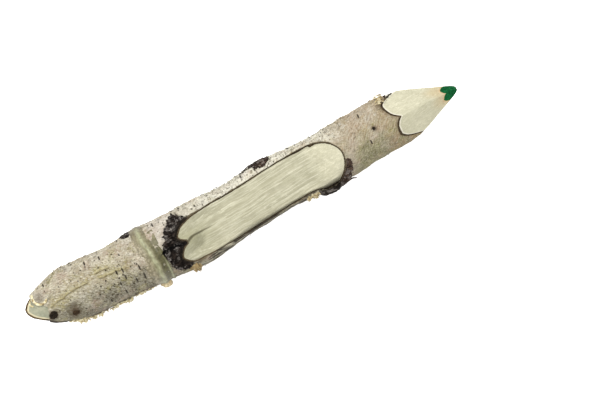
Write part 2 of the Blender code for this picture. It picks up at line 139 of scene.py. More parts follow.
# Stretches along the twig in which one slope goes over into another
PLAQUE_REAR_RUN = (54.0, 61.0)
PLAQUE_REAR_RIM_RUN = (56.0, 63.0)
PLAQUE_FRONT_RUN = (96.0, 104.0)

# The knife point, and the wear of its upper ridge
POINT_FACETS = 5
POINT_RIDGE = math.radians(-2.0)
POINT_OFFSET = 0.3
POINT_TIP_OFFSET = 0.12
POINT_HOLLOW = 1.25
POINT_BACK_SLOPE = 0.3
RIDGE_AT_TIP = 1.06
RIDGE_WEAR = 0.034
RIDGE_LEAST = 0.25
# Distance back from the tip, and half the width across the facets
POINT_PROFILE = np.array((
    (0.0, 0.48),
    (0.6, 0.9),
    (1.4, 1.25),
    (3.7, 2.08),
    (8.3, 3.6),
    (13.0, 5.2),
    (18.0, 6.65),
    (24.0, 8.2),
    (36.0, 11.0),
))
# The slanting cut at the butt
BUTT_ANGLE = math.radians(28.0)
BUTT_ROLL = math.radians(-8.0)


def smooth_through(places, values):
    """Smooth curve through values that are known at a few places."""
    slopes = np.gradient(values, places)

    def at(along):
        along = np.clip(along, places[0], places[-1])
        left = np.clip(np.searchsorted(places, along, side="right") - 1, 0, len(places) - 2)
        span = places[left + 1] - places[left]
        t = (along - places[left]) / span
        start = (2 * t**3 - 3 * t**2 + 1) * values[left] + (t**3 - 2 * t**2 + t) * span * slopes[left]
        end = (3 * t**2 - 2 * t**3) * values[left + 1] + (t**3 - t**2) * span * slopes[left + 1]
        return start + end

    return at


twig_bend = smooth_through(TWIG_STATIONS[:, 0], TWIG_STATIONS[:, 1])
twig_radius = smooth_through(TWIG_STATIONS[:, 0], TWIG_STATIONS[:, 2])
upper_swell = smooth_through(SIDE_SWELLS[:, 0], SIDE_SWELLS[:, 1])
lower_swell = smooth_through(SIDE_SWELLS[:, 0], SIDE_SWELLS[:, 2])


def skin(along, turn):
    """Mean radius of the bark: swollen at the sides, and falling away to the sides of the butt's nose."""
    across = np.sin(turn)
    swell = upper_swell(along) * np.minimum(across, 0.0)**2 + lower_swell(along) * np.maximum(across, 0.0)**2
    fall = NOSE_FALL * np.exp(-np.asarray(along, float) / NOSE_FALL_LENGTH) * (1.0 - np.cos(turn - BUTT_ROLL))
    return twig_radius(along) + swell - np.minimum(fall, NOSE_FALL_MOST)


def twig_centre(along):
    """Points of the centre line; the twig lies on its band and on its front end."""
    along = np.asarray(along, float)
    lift = BAND_STAND * (SHOULDER - along) / (SHOULDER - BAND_END)
    return np.stack([along, twig_bend(along), twig_radius(along) + lift], -1)


def around(turn):
    """Directions square to the twig, turned from straight up towards -Y."""
    turn = np.asarray(turn, float)
    return np.stack([np.zeros_like(turn), -np.sin(turn), np.cos(turn)], -1)


def twig_chart(points):
    """Where points lie on the twig: along it, turn from the top, and height over its mean surface."""
    away = points - twig_centre(points[..., 0])
    turn = np.arctan2(-away[..., 1], away[..., 2])
    height = np.hypot(away[..., 1], away[..., 2]) - skin(points[..., 0], turn)
    return points[..., 0], turn, height


def on_skin(along, turn, height=0.0):
    """Points at a height over the bark's mean surface."""
    return twig_centre(along) + np.asarray(skin(along, turn) + height)[..., None] * around(turn)


def wrapped(along, turn):
    """Places on the twig as points, for noise that closes round it."""
    return np.stack([along, MEAN_RADIUS * np.sin(turn), MEAN_RADIUS * np.cos(turn)], -1)


def bast_thickness(along):
    share = np.clip((along - PLAQUE_END) / (SHOULDER - PLAQUE_END), 0.0, 1.0)
    return BAST_AT_PLAQUE + (BAST_AT_POINT - BAST_AT_PLAQUE) * share


lead_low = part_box("coloured_lead")[0] / MM
band_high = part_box("resin_band")[1] / MM
band_centre = twig_centre((BAND_START + BAND_END) / 2)
ORIGIN = Vector((
    lead_low.x - LEAD_BACK,
    band_high.y - band_centre[1] - twig_radius(band_centre[0]) - BAND_STAND,
    0.0,
))


def lattice(cell, seed):
    """Repeatable random values from -1 to 1 at whole-number points."""
    x, y, z = (cell[..., axis].astype(np.uint32) for axis in range(3))
    value = x * np.uint32(374761393) + y * np.uint32(668265263) + z * np.uint32(2246822519)
    value = value + np.uint32(seed * 977 + 131)
    value = (value ^ (value >> np.uint32(13))) * np.uint32(1274126177)
    value = (value ^ (value >> np.uint32(16))) * np.uint32(2654435769)
    value = value ^ (value >> np.uint32(15))
    return value.astype(np.float64) / 2.0**31 - 1.0


def noise(points, size, seed, octaves=3):
    """Smooth random field, mostly from -1 to 1; size is the width of its largest lumps, along each axis."""
    place = points / np.asarray(size, float)
    total = 0.0
    weight = 1.0
    for _ in range(octaves):
        cell = np.floor(place).astype(np.int64)
        part = place - cell
        fade = part**3 * (part * (part * 6 - 15) + 10)
        value = 0.0
        for corner in range(8):
            step = np.array([corner & 1, corner >> 1 & 1, corner >> 2 & 1])
            share = np.where(step, fade, 1.0 - fade).prod(-1)
            value = value + share * lattice(cell + step, seed)
        total = total + weight * value
        place = place * 2.03 + 31.7
        weight *= 0.5
    return total


def smoothstep(low, high, value):
    t = np.clip((value - low) / (high - low), 0.0, 1.0)
    return t * t * (3.0 - 2.0 * t)


def soft_min(first, second, blend):
    """The smaller of two values, with a rounded change-over."""
    share = np.clip(0.5 + 0.5 * (second - first) / blend, 0.0, 1.0)
    return second + (first - second) * share - blend * share * (1.0 - share)


def stretch(limits, value):
    """From 0 up to 1 between the first two limits, and down again between the last two."""
    return smoothstep(*limits[:2], value) * (1.0 - smoothstep(*limits[2:], value))


def spot(mark, x, y, power=2):
    """Soft spot round the mark's middle; its last two values are its reach along x and along y."""
    middle_x, middle_y, reach_x, reach_y = mark
    return np.exp(-((x - middle_x) / reach_x)**power - ((y - middle_y) / reach_y)**power)


def full_turn(sides):
    """Angles of points spread evenly round a ring."""
    return np.arange(sides) * 2 * math.pi / sides


def square_to(axis, near):
    """Direction square to an axis, as close as can be to another direction."""
    near = near - axis * (near @ axis)
    return near / np.linalg.norm(near)


def sleeve(centres, radii, up=(0, 0, 1), across=(0, -1, 0)):
    """Closed body through rings of points round a line of centres; radii holds one row for each ring."""
    rings, sides = radii.shape
    turn = full_turn(sides)
    spokes = np.outer(np.cos(turn), up) + np.outer(np.sin(turn), across)
    wall = centres[:, None, :] + radii[:, :, None] * spokes
    points = np.concatenate([wall.reshape(-1, 3), centres[:1], centres[-1:]])
    ring, side = np.meshgrid(np.arange(rings - 1) * sides, np.arange(sides), indexing="ij")
    after = (side + 1) % sides
    quads = np.stack([ring + side, ring + after, ring + sides + after, ring + sides + side], -1)
    faces = quads.reshape(-1, 4).tolist()
    first, last = rings * sides, rings * sides + 1
    end = (rings - 1) * sides
    for s in range(sides):
        n = (s + 1) % sides
        faces.append((first, n, s))
        faces.append((last, end + s, end + n))
    return points, faces


def link(name, data):
    """New object in the scene."""
    made = bpy.data.objects.new(name, data)
    bpy.context.scene.collection.objects.link(made)
    return made


def solid(name, points, faces):
    mesh = bpy.data.meshes.new(name)
    mesh.from_pydata(np.asarray(points), [], faces)
    return link(name, mesh)


def twig_sleeve(name, start, end, step, sides, height):
    """Closed length of the twig, worn flat where it lies; height gives the surface over the mean radius."""
    along = np.linspace(start, end, int((end - start) / step) + 2)
    turn = full_turn(sides)
    place, angle = np.meshgrid(along, turn, indexing="ij")
    floor_reach = twig_centre(place)[..., 2] / np.maximum(-np.cos(angle), 0.05)
    radii = np.minimum(skin(place, angle) + height(place, angle), floor_reach)
    return solid(name, *sleeve(twig_centre(along), radii))


def twig_core(start, end, depth):
    """What lies deeper than this inside the twig, as a cutter."""
    return twig_sleeve("core", start, end, step=0.8, sides=120, height=lambda place, angle: -depth)


def centre_rod(name, start, end, step, sides, radius):
    """Round bar on the twig's centre line."""
    return twig_sleeve(name, start, end, step, sides, lambda place, angle: radius - skin(place, angle))


def slab(name, us, vs, relief, back, frame_matrix=Matrix()):
    """Closed block in a frame of its own: one face carries the relief, and the other is flat."""
    u, v = np.meshgrid(us, vs, indexing="ij")
    face = relief(u, v)
    points = np.concatenate([np.stack([u, v, face], -1).reshape(-1, 3),
                             np.stack([u, v, np.full_like(u, back)], -1).reshape(-1, 3)])
    index = np.arange(u.size).reshape(u.shape)
    quads = np.stack([index[:-1, :-1], index[1:, :-1], index[1:, 1:], index[:-1, 1:]], -1).reshape(-1, 4)
    loop = np.concatenate([index[:-1, 0], index[-1, :-1], index[:0:-1, -1], index[0, :0:-1]])
    follow = np.roll(loop, -1)
    rim = np.stack([loop + u.size, follow + u.size, follow, loop], -1)
    faces = np.concatenate([quads, quads[:, ::-1] + u.size, rim])
    if back > face.mean():
        faces = faces[:, ::-1]
    turned = points @ np.array(frame_matrix.to_3x3()).T + np.array(frame_matrix.translation)
    return solid(name, turned, faces.tolist())


def smooth_path(corners, step):
    """Points at short steps on a smooth line through the corners."""
    corners = np.asarray(corners, float)
    run = np.concatenate([[0.0], np.cumsum(np.linalg.norm(np.diff(corners, axis=0), axis=1))])
    at = np.linspace(0.0, run[-1], int(run[-1] / step) + 2)
    return np.column_stack([smooth_through(run, corners[:, axis])(at) for axis in range(corners.shape[1])])


def path_distance(path, x, y):
    """Distance from places seen from above to a line of points."""
    nearest = np.full(np.shape(x), 1e9)
    for start, end in zip(path[:-1], path[1:]):
        run = end - start
        share = np.clip(((x - start[0]) * run[0] + (y - start[1]) * run[1]) / (run @ run), 0.0, 1.0)
        far = np.hypot(x - start[0] - share * run[0], y - start[1] - share * run[1])
        nearest = np.minimum(nearest, far)
    return nearest


def depth_inside(path, x, y):
    """Distance to a closed outline seen from above, positive inside it."""
    inside = np.zeros(np.shape(x), bool)
    for (x0, y0), (x1, y1) in zip(path, np.roll(path, -1, axis=0)):
        if y0 != y1:
            inside ^= ((y0 > y) != (y1 > y)) & (x < (x1 - x0) * (y - y0) / (y1 - y0) + x0)
    return np.where(inside, 1.0, -1.0) * path_distance(np.concatenate([path, path[:1]]), x, y)


def prism(name, outline, low, high):
    """Upright block over an outline seen from above."""
    outline = np.asarray(outline, float)
    after = np.roll(outline, -1, axis=0)
    if (outline[:, 0] * after[:, 1] - after[:, 0] * outline[:, 1]).sum() < 0:
        outline = outline[::-1]
    count = len(outline)
    bottom = np.column_stack([outline, np.full(count, low)])
    top = np.column_stack([outline, np.full(count, high)])
    faces = [tuple(range(count))[::-1], tuple(range(count, 2 * count))]
    for corner in range(count):
        follow = (corner + 1) % count
        faces.append((corner, follow, count + follow, count + corner))
    return solid(name, np.concatenate([bottom, top]), faces)


def ragged(outline, step, amount, seed):
    """Outline with more corners, each pushed a little off its side, as a tear runs."""
    outline = np.asarray(outline, float)
    corners = []
    for start, end in zip(outline, np.roll(outline, -1, axis=0)):
        count = max(1, int(np.hypot(*(end - start)) / step))
        for share in np.arange(count) / count:
            corners.append(start + (end - start) * share)
    corners = np.array(corners)
    at = np.column_stack([corners, np.zeros(len(corners))])
    corners[:, 0] += amount * noise(at, 1.1, seed)
    corners[:, 1] += amount * noise(at, 1.1, seed + 1)
    return corners


def carve(piece, cutter, operation='DIFFERENCE'):
    modifier = piece.modifiers.new("carve", 'BOOLEAN')
    modifier.operation = operation
    modifier.solver = 'MANIFOLD'
    modifier.object = cutter
    settle(piece)


def fuse(piece, voxel):
    """Melt overlapping bodies into one skin."""
    modifier = piece.modifiers.new("fuse", 'REMESH')
    modifier.mode = 'VOXEL'
    modifier.voxel_size = voxel
    settle(piece)


def settle(piece):
    """Make the modifiers' result the piece's own mesh."""
    ready = piece.evaluated_get(bpy.context.evaluated_depsgraph_get())
    mesh = bpy.data.meshes.new_from_object(ready)
    piece.modifiers.clear()
    before = piece.data
    piece.data = mesh
    bpy.data.meshes.remove(before)
    mesh.name = piece.name


SHORTEST_EDGE = 0.003
FEWEST_FACES = 100


def shed(piece):
    """Drop what cutting leaves over: faces without area, folded pairs and crumbs of only a few faces."""
    shape = bmesh.new()
    shape.from_mesh(piece.data)
    bmesh.ops.dissolve_degenerate(shape, dist=SHORTEST_EDGE, edges=shape.edges)
    bmesh.ops.triangulate(shape, faces=shape.faces)
    twins = {}
    for face in shape.faces:
        twins.setdefault(frozenset(face.verts), []).append(face)
    folded = [face for pair in twins.values() if len(pair) == 2 for face in pair]
    bmesh.ops.delete(shape, geom=folded, context='FACES')
    crumbs = []
    waiting = set(shape.faces)
    while waiting:
        body = [waiting.pop()]
        for face in body:
            for edge in face.edges:
                for other in edge.link_faces:
                    if other in waiting:
                        waiting.discard(other)
                        body.append(other)
        if len(body) < FEWEST_FACES:
            crumbs += body
    bmesh.ops.delete(shape, geom=crumbs, context='FACES')
    shape.to_mesh(piece.data)
    shape.free()


def corners_of(piece):
    points = np.empty(len(piece.data.vertices) * 3)
    piece.data.vertices.foreach_get("co", points)
    return points.reshape(-1, 3)


def write(piece, **kept):
    """Keep values for each point of a piece, for its finish to read by these names."""
    for name, values in kept.items():
        attribute = piece.data.attributes.new(name, 'FLOAT', 'POINT')
        attribute.data.foreach_set("value", np.asarray(values, np.float32))


def put(piece, finish, slot, *nodes, sharp=40.0):
    """Place a finished piece: metres, material, smooth shading and body, and hide the nodes it stands for. The
    slot is not used.
    """
    piece.data.transform(Matrix.Translation(ORIGIN * MM) @ Matrix.Scale(MM, 4))
    piece.data.materials.clear()
    piece.data.materials.append(finish)
    piece.data.shade_smooth()
    piece.data.set_sharp_from_angle(angle=math.radians(sharp))
    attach(piece, "root")
    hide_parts(*nodes)


class Nodes:
    """Adds nodes to a tree. A socket's value is linked if it is a socket itself, and set if it is not."""

    def __init__(self, tree):
        self.tree = tree

    def feed(self, socket, value):
        if isinstance(value, bpy.types.NodeSocket):
            self.tree.links.new(value, socket)
        else:
            socket.default_value = value

    def add(self, kind, sockets, **settings):
        node = self.tree.nodes.new(kind)
        for name, value in settings.items():
            setattr(node, name, value)
        for name, value in sockets.items():
            self.feed(node.inputs[name], value)
        return node

    def mask(self, tree, **sockets):
        """What one of the shared patterns puts out."""
        return self.add('ShaderNodeGroup', sockets, node_tree=tree).outputs["Mask"]

    def mix(self, factor, first, second):
        return self.add('ShaderNodeMix', {0: factor, 6: first, 7: second}, data_type='RGBA').outputs[2]

    def math(self, operation, first, second=0.0):
        return self.add('ShaderNodeMath', {0: first, 1: second}, operation=operation).outputs[0]

    def both(self, first, second):
        return self.math('MULTIPLY', first, second)

    def without(self, mask, strength=1.0):
        """Where a mask is not."""
        return self.math('SUBTRACT', 1.0, self.both(mask, strength))

    def ranged(self, value, low, high):
        return self.add('ShaderNodeMapRange', {"Value": value, "From Min": low, "From Max": high},
                        interpolation_type='SMOOTHSTEP').outputs[0]

    def point(self, x, y=0.0, z=0.0):
        return self.add('ShaderNodeCombineXYZ', {"X": x, "Y": y, "Z": z}).outputs[0]

    def vector(self, operation, first, second):
        return self.add('ShaderNodeVectorMath', {0: first, 1: second}, operation=operation).outputs[0]

    def scaled(self, vector, factor):
        return self.add('ShaderNodeVectorMath', {0: vector, "Scale": factor}, operation='SCALE').outputs[0]

    def value(self, name):
        """What a piece keeps for each of its points under this name."""
        return self.add('ShaderNodeAttribute', {}, attribute_name=name).outputs["Fac"]


STUDIO_LIGHT = 1.4


def tint(red, green, blue):
    """Base colour that shows as these 0 to 255 values when it faces up in the studio's light."""
    linear = [c / 12.92 if c <= 0.04045 else ((c + 0.055) / 1.055) ** 2.4
              for c in (red / 255, green / 255, blue / 255)]
    return (*(c / STUDIO_LIGHT for c in linear), 1.0)


def new_group(name, *inputs):
    """Pattern for several finishes: its tree, a builder for it, what goes in, and the mask it puts out."""
    tree = bpy.data.node_groups.new(name, 'ShaderNodeTree')
    for socket in inputs:
        kind = 'NodeSocketVector' if socket == "Place" else 'NodeSocketFloat'
        tree.interface.new_socket(socket, in_out='INPUT', socket_type=kind)
    tree.interface.new_socket("Mask", in_out='OUTPUT', socket_type='NodeSocketFloat')
    nodes = Nodes(tree)
    given = nodes.add('NodeGroupInput', {}).outputs
    mask = nodes.add('NodeGroupOutput', {}).inputs["Mask"]
    return tree, nodes, given, mask


def mottling_group():
    """Soft patches: Cover is the share that they take, and Edge how soft they end."""
    tree, nodes, given, mask = new_group("mottling", "Place", "Size", "Cover", "Edge")
    scale = nodes.math('DIVIDE', 1.0, given["Size"])
    cloud = nodes.add('ShaderNodeTexNoise', {"Vector": given["Place"], "Scale": scale, "Detail": 5.0,
                                             "Roughness": 0.62}).outputs[0]
    line = nodes.math('SUBTRACT', 0.75, nodes.both(given["Cover"], 0.5))
    low = nodes.math('SUBTRACT', line, given["Edge"])
    high = nodes.math('ADD', line, given["Edge"])
    nodes.feed(mask, nodes.ranged(cloud, low, high))
    return tree


def fibres_group():
    """Threads along the twig, or at a Turn to it. Length, Thickness and wandering Bend are in millimetres."""
    tree, nodes, given, mask = new_group("fibres", "Place", "Turn", "Length", "Thickness", "Bend", "Edge")
    drift = nodes.add('ShaderNodeTexNoise', {"Vector": given["Place"], "Scale": 0.11, "Detail": 1.0})
    sway = nodes.vector('SUBTRACT', drift.outputs["Color"], (0.5, 0.5, 0.5))
    swayed = nodes.vector('ADD', given["Place"], nodes.scaled(sway, given["Bend"]))
    turned = nodes.add('ShaderNodeVectorRotate', {"Vector": swayed, "Angle": given["Turn"]},
                       rotation_type='Z_AXIS').outputs[0]
    size = nodes.point(given["Length"], given["Thickness"], given["Thickness"])
    place = nodes.vector('DIVIDE', turned, size)
    cloud = nodes.add('ShaderNodeTexNoise', {"Vector": place, "Scale": 1.0, "Detail": 4.0,
                                             "Roughness": 0.6}).outputs[0]
    low = nodes.math('SUBTRACT', 0.5, given["Edge"])
    high = nodes.math('ADD', 0.5, given["Edge"])
    nodes.feed(mask, nodes.ranged(cloud, low, high))
    return tree


def held_cells(nodes, cells, mark, share):
    """A mark in each cell of a pattern, kept in only a share of the cells."""
    red = nodes.add('ShaderNodeSeparateColor', {0: cells.outputs["Color"]}).outputs[0]
    return nodes.both(mark, nodes.math('LESS_THAN', red, share))


def specks_group():
    """Round specks: Spacing in millimetres, Radius as a share of it, Share of the places that hold one."""
    tree, nodes, given, mask = new_group("specks", "Place", "Spacing", "Radius", "Share")
    scale = nodes.math('DIVIDE', 1.0, given["Spacing"])
    cells = nodes.add('ShaderNodeTexVoronoi', {"Vector": given["Place"], "Scale": scale})
    half = nodes.both(given["Radius"], 0.5)
    dot = nodes.without(nodes.ranged(cells.outputs["Distance"], half, given["Radius"]))
    nodes.feed(mask, held_cells(nodes, cells, dot, given["Share"]))
    return tree


def lenticels_group():
    """Short dark dashes across the twig, one in some of the cells of a grid laid round it."""
    tree, nodes, given, mask = new_group(
        "lenticels", "Along", "Around", "Spacing", "Length", "Width", "Share")
    chart = nodes.point(given["Along"], given["Around"])
    scale = nodes.math('DIVIDE', 1.0, given["Spacing"])
    cells = nodes.add('ShaderNodeTexVoronoi', {"Vector": chart, "Scale": scale}, voronoi_dimensions='2D')
    offset = nodes.vector('SUBTRACT', chart, cells.outputs["Position"])
    reach = nodes.vector('DIVIDE', offset, nodes.point(given["Width"], given["Length"], 1.0))
    far = nodes.add('ShaderNodeVectorMath', {0: reach}, operation='LENGTH').outputs["Value"]
    dash = nodes.without(nodes.ranged(far, 0.3, 0.6))
    nodes.feed(mask, held_cells(nodes, cells, dash, given["Share"]))
    return tree


MOTTLING = mottling_group()
FIBRES = fibres_group()
SPECKS = specks_group()
LENTICELS = lenticels_group()


class Finish(Nodes):
    """A material under construction: its colour so far, and places in millimetres for its patterns."""

    def __init__(self, name, roughness=0.8, gloss=0.25):
        self.material = bpy.data.materials.new(name)
        self.material.use_nodes = True
        super().__init__(self.material.node_tree)
        self.shader = self.tree.nodes["Principled BSDF"]
        self.set("Roughness", roughness)
        self.set("Specular IOR Level", gloss)
        self.place = self.scaled(self.add('ShaderNodeTexCoord', {}).outputs["Object"], 1.0 / MM)
        self.colour = None

    def set(self, socket, value):
        self.feed(self.shader.inputs[socket], value)

    def moved(self, shift):
        """The same places, shifted, so that two patterns of one kind don't repeat each other."""
        return self.vector('ADD', self.place, (shift, 2 * shift, -shift))

    def patches(self, size, cover, edge=0.06, shift=0.0):
        return self.mask(MOTTLING, Place=self.moved(shift), Size=size, Cover=cover, Edge=edge)

    def threads(self, length, thickness, edge=0.1, shift=0.0, turn=0.0, bend=0.0):
        return self.mask(FIBRES, Place=self.moved(shift), Turn=turn, Length=length, Thickness=thickness,
                         Bend=bend, Edge=edge)

    def dots(self, spacing, radius, share, shift=0.0):
        return self.mask(SPECKS, Place=self.moved(shift), Spacing=spacing, Radius=radius, Share=share)

    def dashes(self, spacing, length, width):
        along = self.add('ShaderNodeSeparateXYZ', {0: self.place}).outputs[0]
        return self.mask(LENTICELS, Along=along, Around=self.value("around"), Spacing=spacing, Length=length,
                         Width=width, Share=self.value("dashes"))

    def blend(self, colour, mask, strength, other):
        """Another colour over this one where the mask is, at most this strongly."""
        return self.mix(self.both(mask, strength), colour, other)

    def lay(self, mask, strength, colour):
        """Lay a colour over the finish so far."""
        self.colour = self.blend(self.colour, mask, strength, colour)

    def finished(self, height=None, depth=0.0):
        """The material, with fine relief from a height of 0 to 1 that is this deep in millimetres."""
        self.set("Base Color", self.colour)
        if height is not None:
            bump = self.add('ShaderNodeBump', {"Strength": 1.0, "Distance": depth * MM, "Height": height})
            self.set("Normal", bump.outputs[0])
        return self.material


GRAIN_TURN = math.radians(-4.5)


def birch_wood_finish():
    """Grain that runs with the carved flat, rings on the butt cut, and a yellower heart round the lead."""
    f = Finish("bare_birch", 0.6)
    along, across, level = f.add('ShaderNodeSeparateXYZ', {0: f.place}).outputs
    f.place = f.point(along, across, f.math('ADD', level, f.both(along, math.tan(PLAQUE_PITCH))))
    streak = f.threads(34.0, 0.75, 0.1, turn=GRAIN_TURN, bend=1.6)
    hair = f.threads(9.0, 0.2, 0.16, shift=11.0, turn=GRAIN_TURN, bend=0.8)
    f.colour = f.mix(streak, tint(224, 220, 194), tint(191, 187, 160))
    f.lay(f.threads(24.0, 0.4, 0.05, shift=43.0, turn=GRAIN_TURN, bend=1.6), 0.8, tint(164, 160, 134))
    f.lay(hair, 0.38, tint(168, 164, 137))
    wave = {"Vector": f.point(f.value("ring")), "Scale": 0.36, "Distortion": 0.6}
    rings = f.add('ShaderNodeTexWave', wave, wave_profile='SAW').outputs["Fac"]
    f.lay(rings, 0.16, tint(182, 180, 146))
    f.lay(f.patches(5.0, 0.4, 0.12), 0.25, tint(226, 222, 196))
    f.lay(f.patches(0.45, 0.45, 0.1, 53.0), 0.3, tint(176, 170, 142))
    # Painted shade: a greenish darker tone in the rear scoop by the crack and on the point's facets turned from
    # the light.
    f.lay(f.value("green"), 0.7, tint(160, 158, 125))
    f.lay(f.value("fresh"), 0.9, f.mix(hair, tint(235, 230, 202), tint(210, 205, 176)))
    heart = f.mix(f.patches(0.7, 0.4, 0.1, 5.0), tint(204, 186, 143), tint(188, 160, 119))
    f.lay(f.value("heart"), 0.65, heart)
    # Painted highlight: a pale line along the wood's outer edge where the point's facets run out under the
    # bast.
    edge = f.both(f.value("point"), f.without(f.ranged(f.value("layer"), 0.04, 0.14)))
    f.lay(edge, 0.75, tint(238, 232, 214))
    # The crack: the split's own dark together with painted shade in its groove.
    f.lay(f.value("crack"), 0.9, tint(88, 82, 56))
    sawn = f.value("sawn")
    sawn_wood = f.mix(f.patches(2.5, 0.5, 0.15, 33.0), tint(214, 200, 164), tint(190, 172, 132))
    f.lay(sawn, 0.5, sawn_wood)
    f.lay(f.both(sawn, rings), 0.5, tint(164, 140, 100))
    return f.finished(f.math('ADD', hair, f.both(streak, 0.6)), 0.06)


def bast_finish():
    f = Finish("brown_bast", 0.9, 0.1)
    thread = f.threads(5.0, 0.3)
    f.colour = f.mix(thread, tint(82, 68, 48), tint(48, 39, 28))
    f.lay(f.value("warm"), 0.85, f.mix(thread, tint(106, 92, 70), tint(72, 61, 46)))
    nose = f.value("nose")
    edge = f.value("edge")
    bare = f.mix(f.patches(1.8, 0.5, 0.1), tint(160, 162, 140), tint(176, 175, 151))
    bare = f.blend(bare, f.patches(0.6, 0.4, 0.08, 7.0), 0.4, tint(146, 144, 120))
    f.lay(f.both(nose, f.ranged(edge, 1.4, 1.7)), 1.0, bare)
    lip = f.both(f.ranged(edge, 0.8, 1.0), f.without(f.ranged(edge, 1.5, 1.8)))
    f.lay(f.both(nose, lip), 0.9, tint(224, 214, 178))
    rim = f.mix(f.value("soot"), f.mix(thread, tint(112, 92, 62), tint(66, 54, 38)), tint(30, 26, 21))
    f.lay(f.both(nose, f.without(f.ranged(edge, 0.75, 0.95))), 1.0, rim)
    return f.finished(thread, 0.06)


def bark_finish():
    f = Finish("papery_birch_bark", 0.85, 0.15)
    front = f.value("front")
    warts = f.value("warts")
    broad = f.patches(3.4, 0.5, 0.12)
    small = f.patches(1.1, 0.5, 0.1, shift=5.0)
    cream = f.mix(broad, tint(226, 216, 190), tint(184, 170, 141))
    olive = f.mix(broad, tint(190, 185, 146), tint(158, 152, 110))
    # Painted shade: the grey and olive tones below stand for the side of the twig turned from the light and for
    # its underside.
    painted_shade_grey = f.mix(broad, tint(134, 128, 101), tint(91, 86, 63))
    painted_shade_olive = f.mix(broad, tint(148, 147, 100), tint(119, 117, 74))
    chalk = f.mix(small, tint(250, 248, 236), tint(206, 200, 178))
    pale = f.mix(broad, tint(234, 226, 216), tint(206, 194, 180))
    waver = f.math('SUBTRACT', f.patches(2.0, 0.5, 0.25, 21.0), 0.5)
    under = f.math('ADD', f.value("under"), f.both(waver, 0.55))
    upper_front = f.both(front, f.without(f.ranged(under, 0.2, 0.8)))
    f.colour = f.blend(cream, front, 0.85, olive)
    # Painted shade laid over the side turned from the light and the underside, with a ragged edge.
    f.lay(f.ranged(under, 0.1, 0.9), 1.0, f.mix(front, painted_shade_grey, painted_shade_olive))
    f.lay(warts, 0.85, chalk)
    f.lay(f.value("pale"), 0.85, pale)
    f.lay(f.patches(4.5, 0.38, 0.07, 61.0), 0.62, tint(192, 165, 145))
    f.lay(f.patches(3.6, 0.36, 0.06, 71.0), 0.62, tint(172, 163, 104))
    f.lay(f.both(upper_front, f.patches(3.0, 0.4, 0.07, 151.0)), 0.6, tint(220, 210, 191))
    # Pale clouds, like the upper-front streaks and patches, are kept off the painted shade.
    clouds = f.both(f.patches(6.0, 0.42, 0.07, 161.0), f.without(under, 0.7))
    f.lay(clouds, 0.5, tint(232, 226, 210))
    f.lay(f.value("seam_glow"), 0.62, tint(180, 168, 108))
    f.lay(f.value("blush"), 0.6, tint(206, 187, 170))
    f.lay(f.both(f.value("tan"), f.patches(1.6, 0.6, 0.12, 37.0)), 0.8, tint(178, 150, 106))
    grain = f.threads(1.5, 0.34, 0.14, shift=3.0)
    f.lay(grain, 0.36, tint(100, 91, 71))
    pink_streaks = f.threads(5.0, 0.8, 0.07, 101.0, turn=-0.9, bend=2.0)
    f.lay(f.both(upper_front, pink_streaks), 0.3, tint(212, 192, 170))
    brown_streaks = f.threads(4.0, 0.6, 0.06, 111.0, turn=-0.7, bend=2.0)
    f.lay(f.both(upper_front, brown_streaks), 0.45, tint(152, 123, 82))
    behind_front = f.without(front, 0.75)
    pale_hair = f.both(behind_front, f.threads(2.6, 0.26, 0.05, 23.0, turn=0.55))
    f.lay(pale_hair, 0.42, tint(230, 224, 204))
    dark_hair = f.both(behind_front, f.threads(1.8, 0.2, 0.05, 29.0, turn=0.45))
    f.lay(dark_hair, 0.3, tint(92, 84, 66))
    front_hair = f.both(front, f.threads(3.2, 0.34, 0.05, 121.0, turn=-0.85, bend=1.5))
    f.lay(front_hair, 0.35, tint(222, 211, 188))
    front_crease = f.both(front, f.threads(2.6, 0.26, 0.05, 131.0, turn=-0.95, bend=1.5))
    f.lay(front_crease, 0.35, tint(112, 98, 70))
    f.lay(f.both(behind_front, f.patches(0.6, 0.36, 0.05, 81.0)), 0.5, tint(102, 92, 71))
    # Pale flecks on the lit upper side: partly the bark's own flecks, partly painted highlight.
    pale_flecks_and_highlights = f.both(f.patches(0.7, 0.3, 0.05, 91.0), f.both(behind_front, f.without(under, 0.8)))
    f.lay(pale_flecks_and_highlights, 0.5, tint(242, 236, 218))
    f.lay(f.value("pale"), 0.4, pale)
    bleached = f.both(f.both(warts, f.without(front)), f.patches(1.0, 0.55, 0.07, 47.0))
    f.lay(bleached, 0.5, tint(250, 246, 226))
    f.lay(f.both(behind_front, f.dots(0.85, 0.3, 0.2)), 0.7, tint(78, 66, 48))
    f.lay(f.both(behind_front, f.dots(1.9, 0.22, 0.5, 141.0)), 0.9, tint(52, 43, 31))
    rough = f.both(warts, behind_front)
    f.lay(f.both(f.dots(0.75, 0.42, 0.5, 31.0), rough), 0.8, tint(84, 72, 54))
    broken = f.patches(1.3, 0.7, 0.12, 97.0)
    f.lay(f.both(f.value("seam_shade"), broken), 0.85, tint(86, 74, 46))
    yellow = f.mix(small, tint(212, 200, 150), tint(170, 156, 104))
    f.lay(f.both(f.value("seam"), broken), 0.6, yellow)
    dash = f.math('MAXIMUM', f.dashes(2.4, 2.1, 0.58), f.dashes(1.5, 0.8, 0.3))
    f.lay(dash, 0.92, tint(48, 41, 32))
    cut = f.mix(f.patches(0.8, 0.5, 0.15, 51.0), tint(102, 90, 68), tint(130, 117, 92))
    f.lay(f.value("cut"), 1.0, cut)
    stain = f.value("stain")
    f.lay(f.both(stain, f.threads(9.0, 0.8, 0.08, 57.0)), 0.75, tint(208, 202, 178))
    f.lay(f.both(stain, f.threads(10.0, 0.9, 0.06, 17.0)), 0.92, tint(40, 33, 25))
    f.lay(f.both(f.value("brown"), f.patches(0.9, 0.95, 0.2, 19.0)), 0.92, tint(78, 62, 45))
    f.lay(f.value("char"), 0.95, f.mix(small, tint(26, 22, 19), tint(60, 51, 43)))
    height = f.math('ADD', grain, f.both(f.patches(0.5, 0.5, 0.2, 41.0), 0.8))
    return f.finished(f.math('SUBTRACT', height, f.both(dash, 0.6)), 0.13)


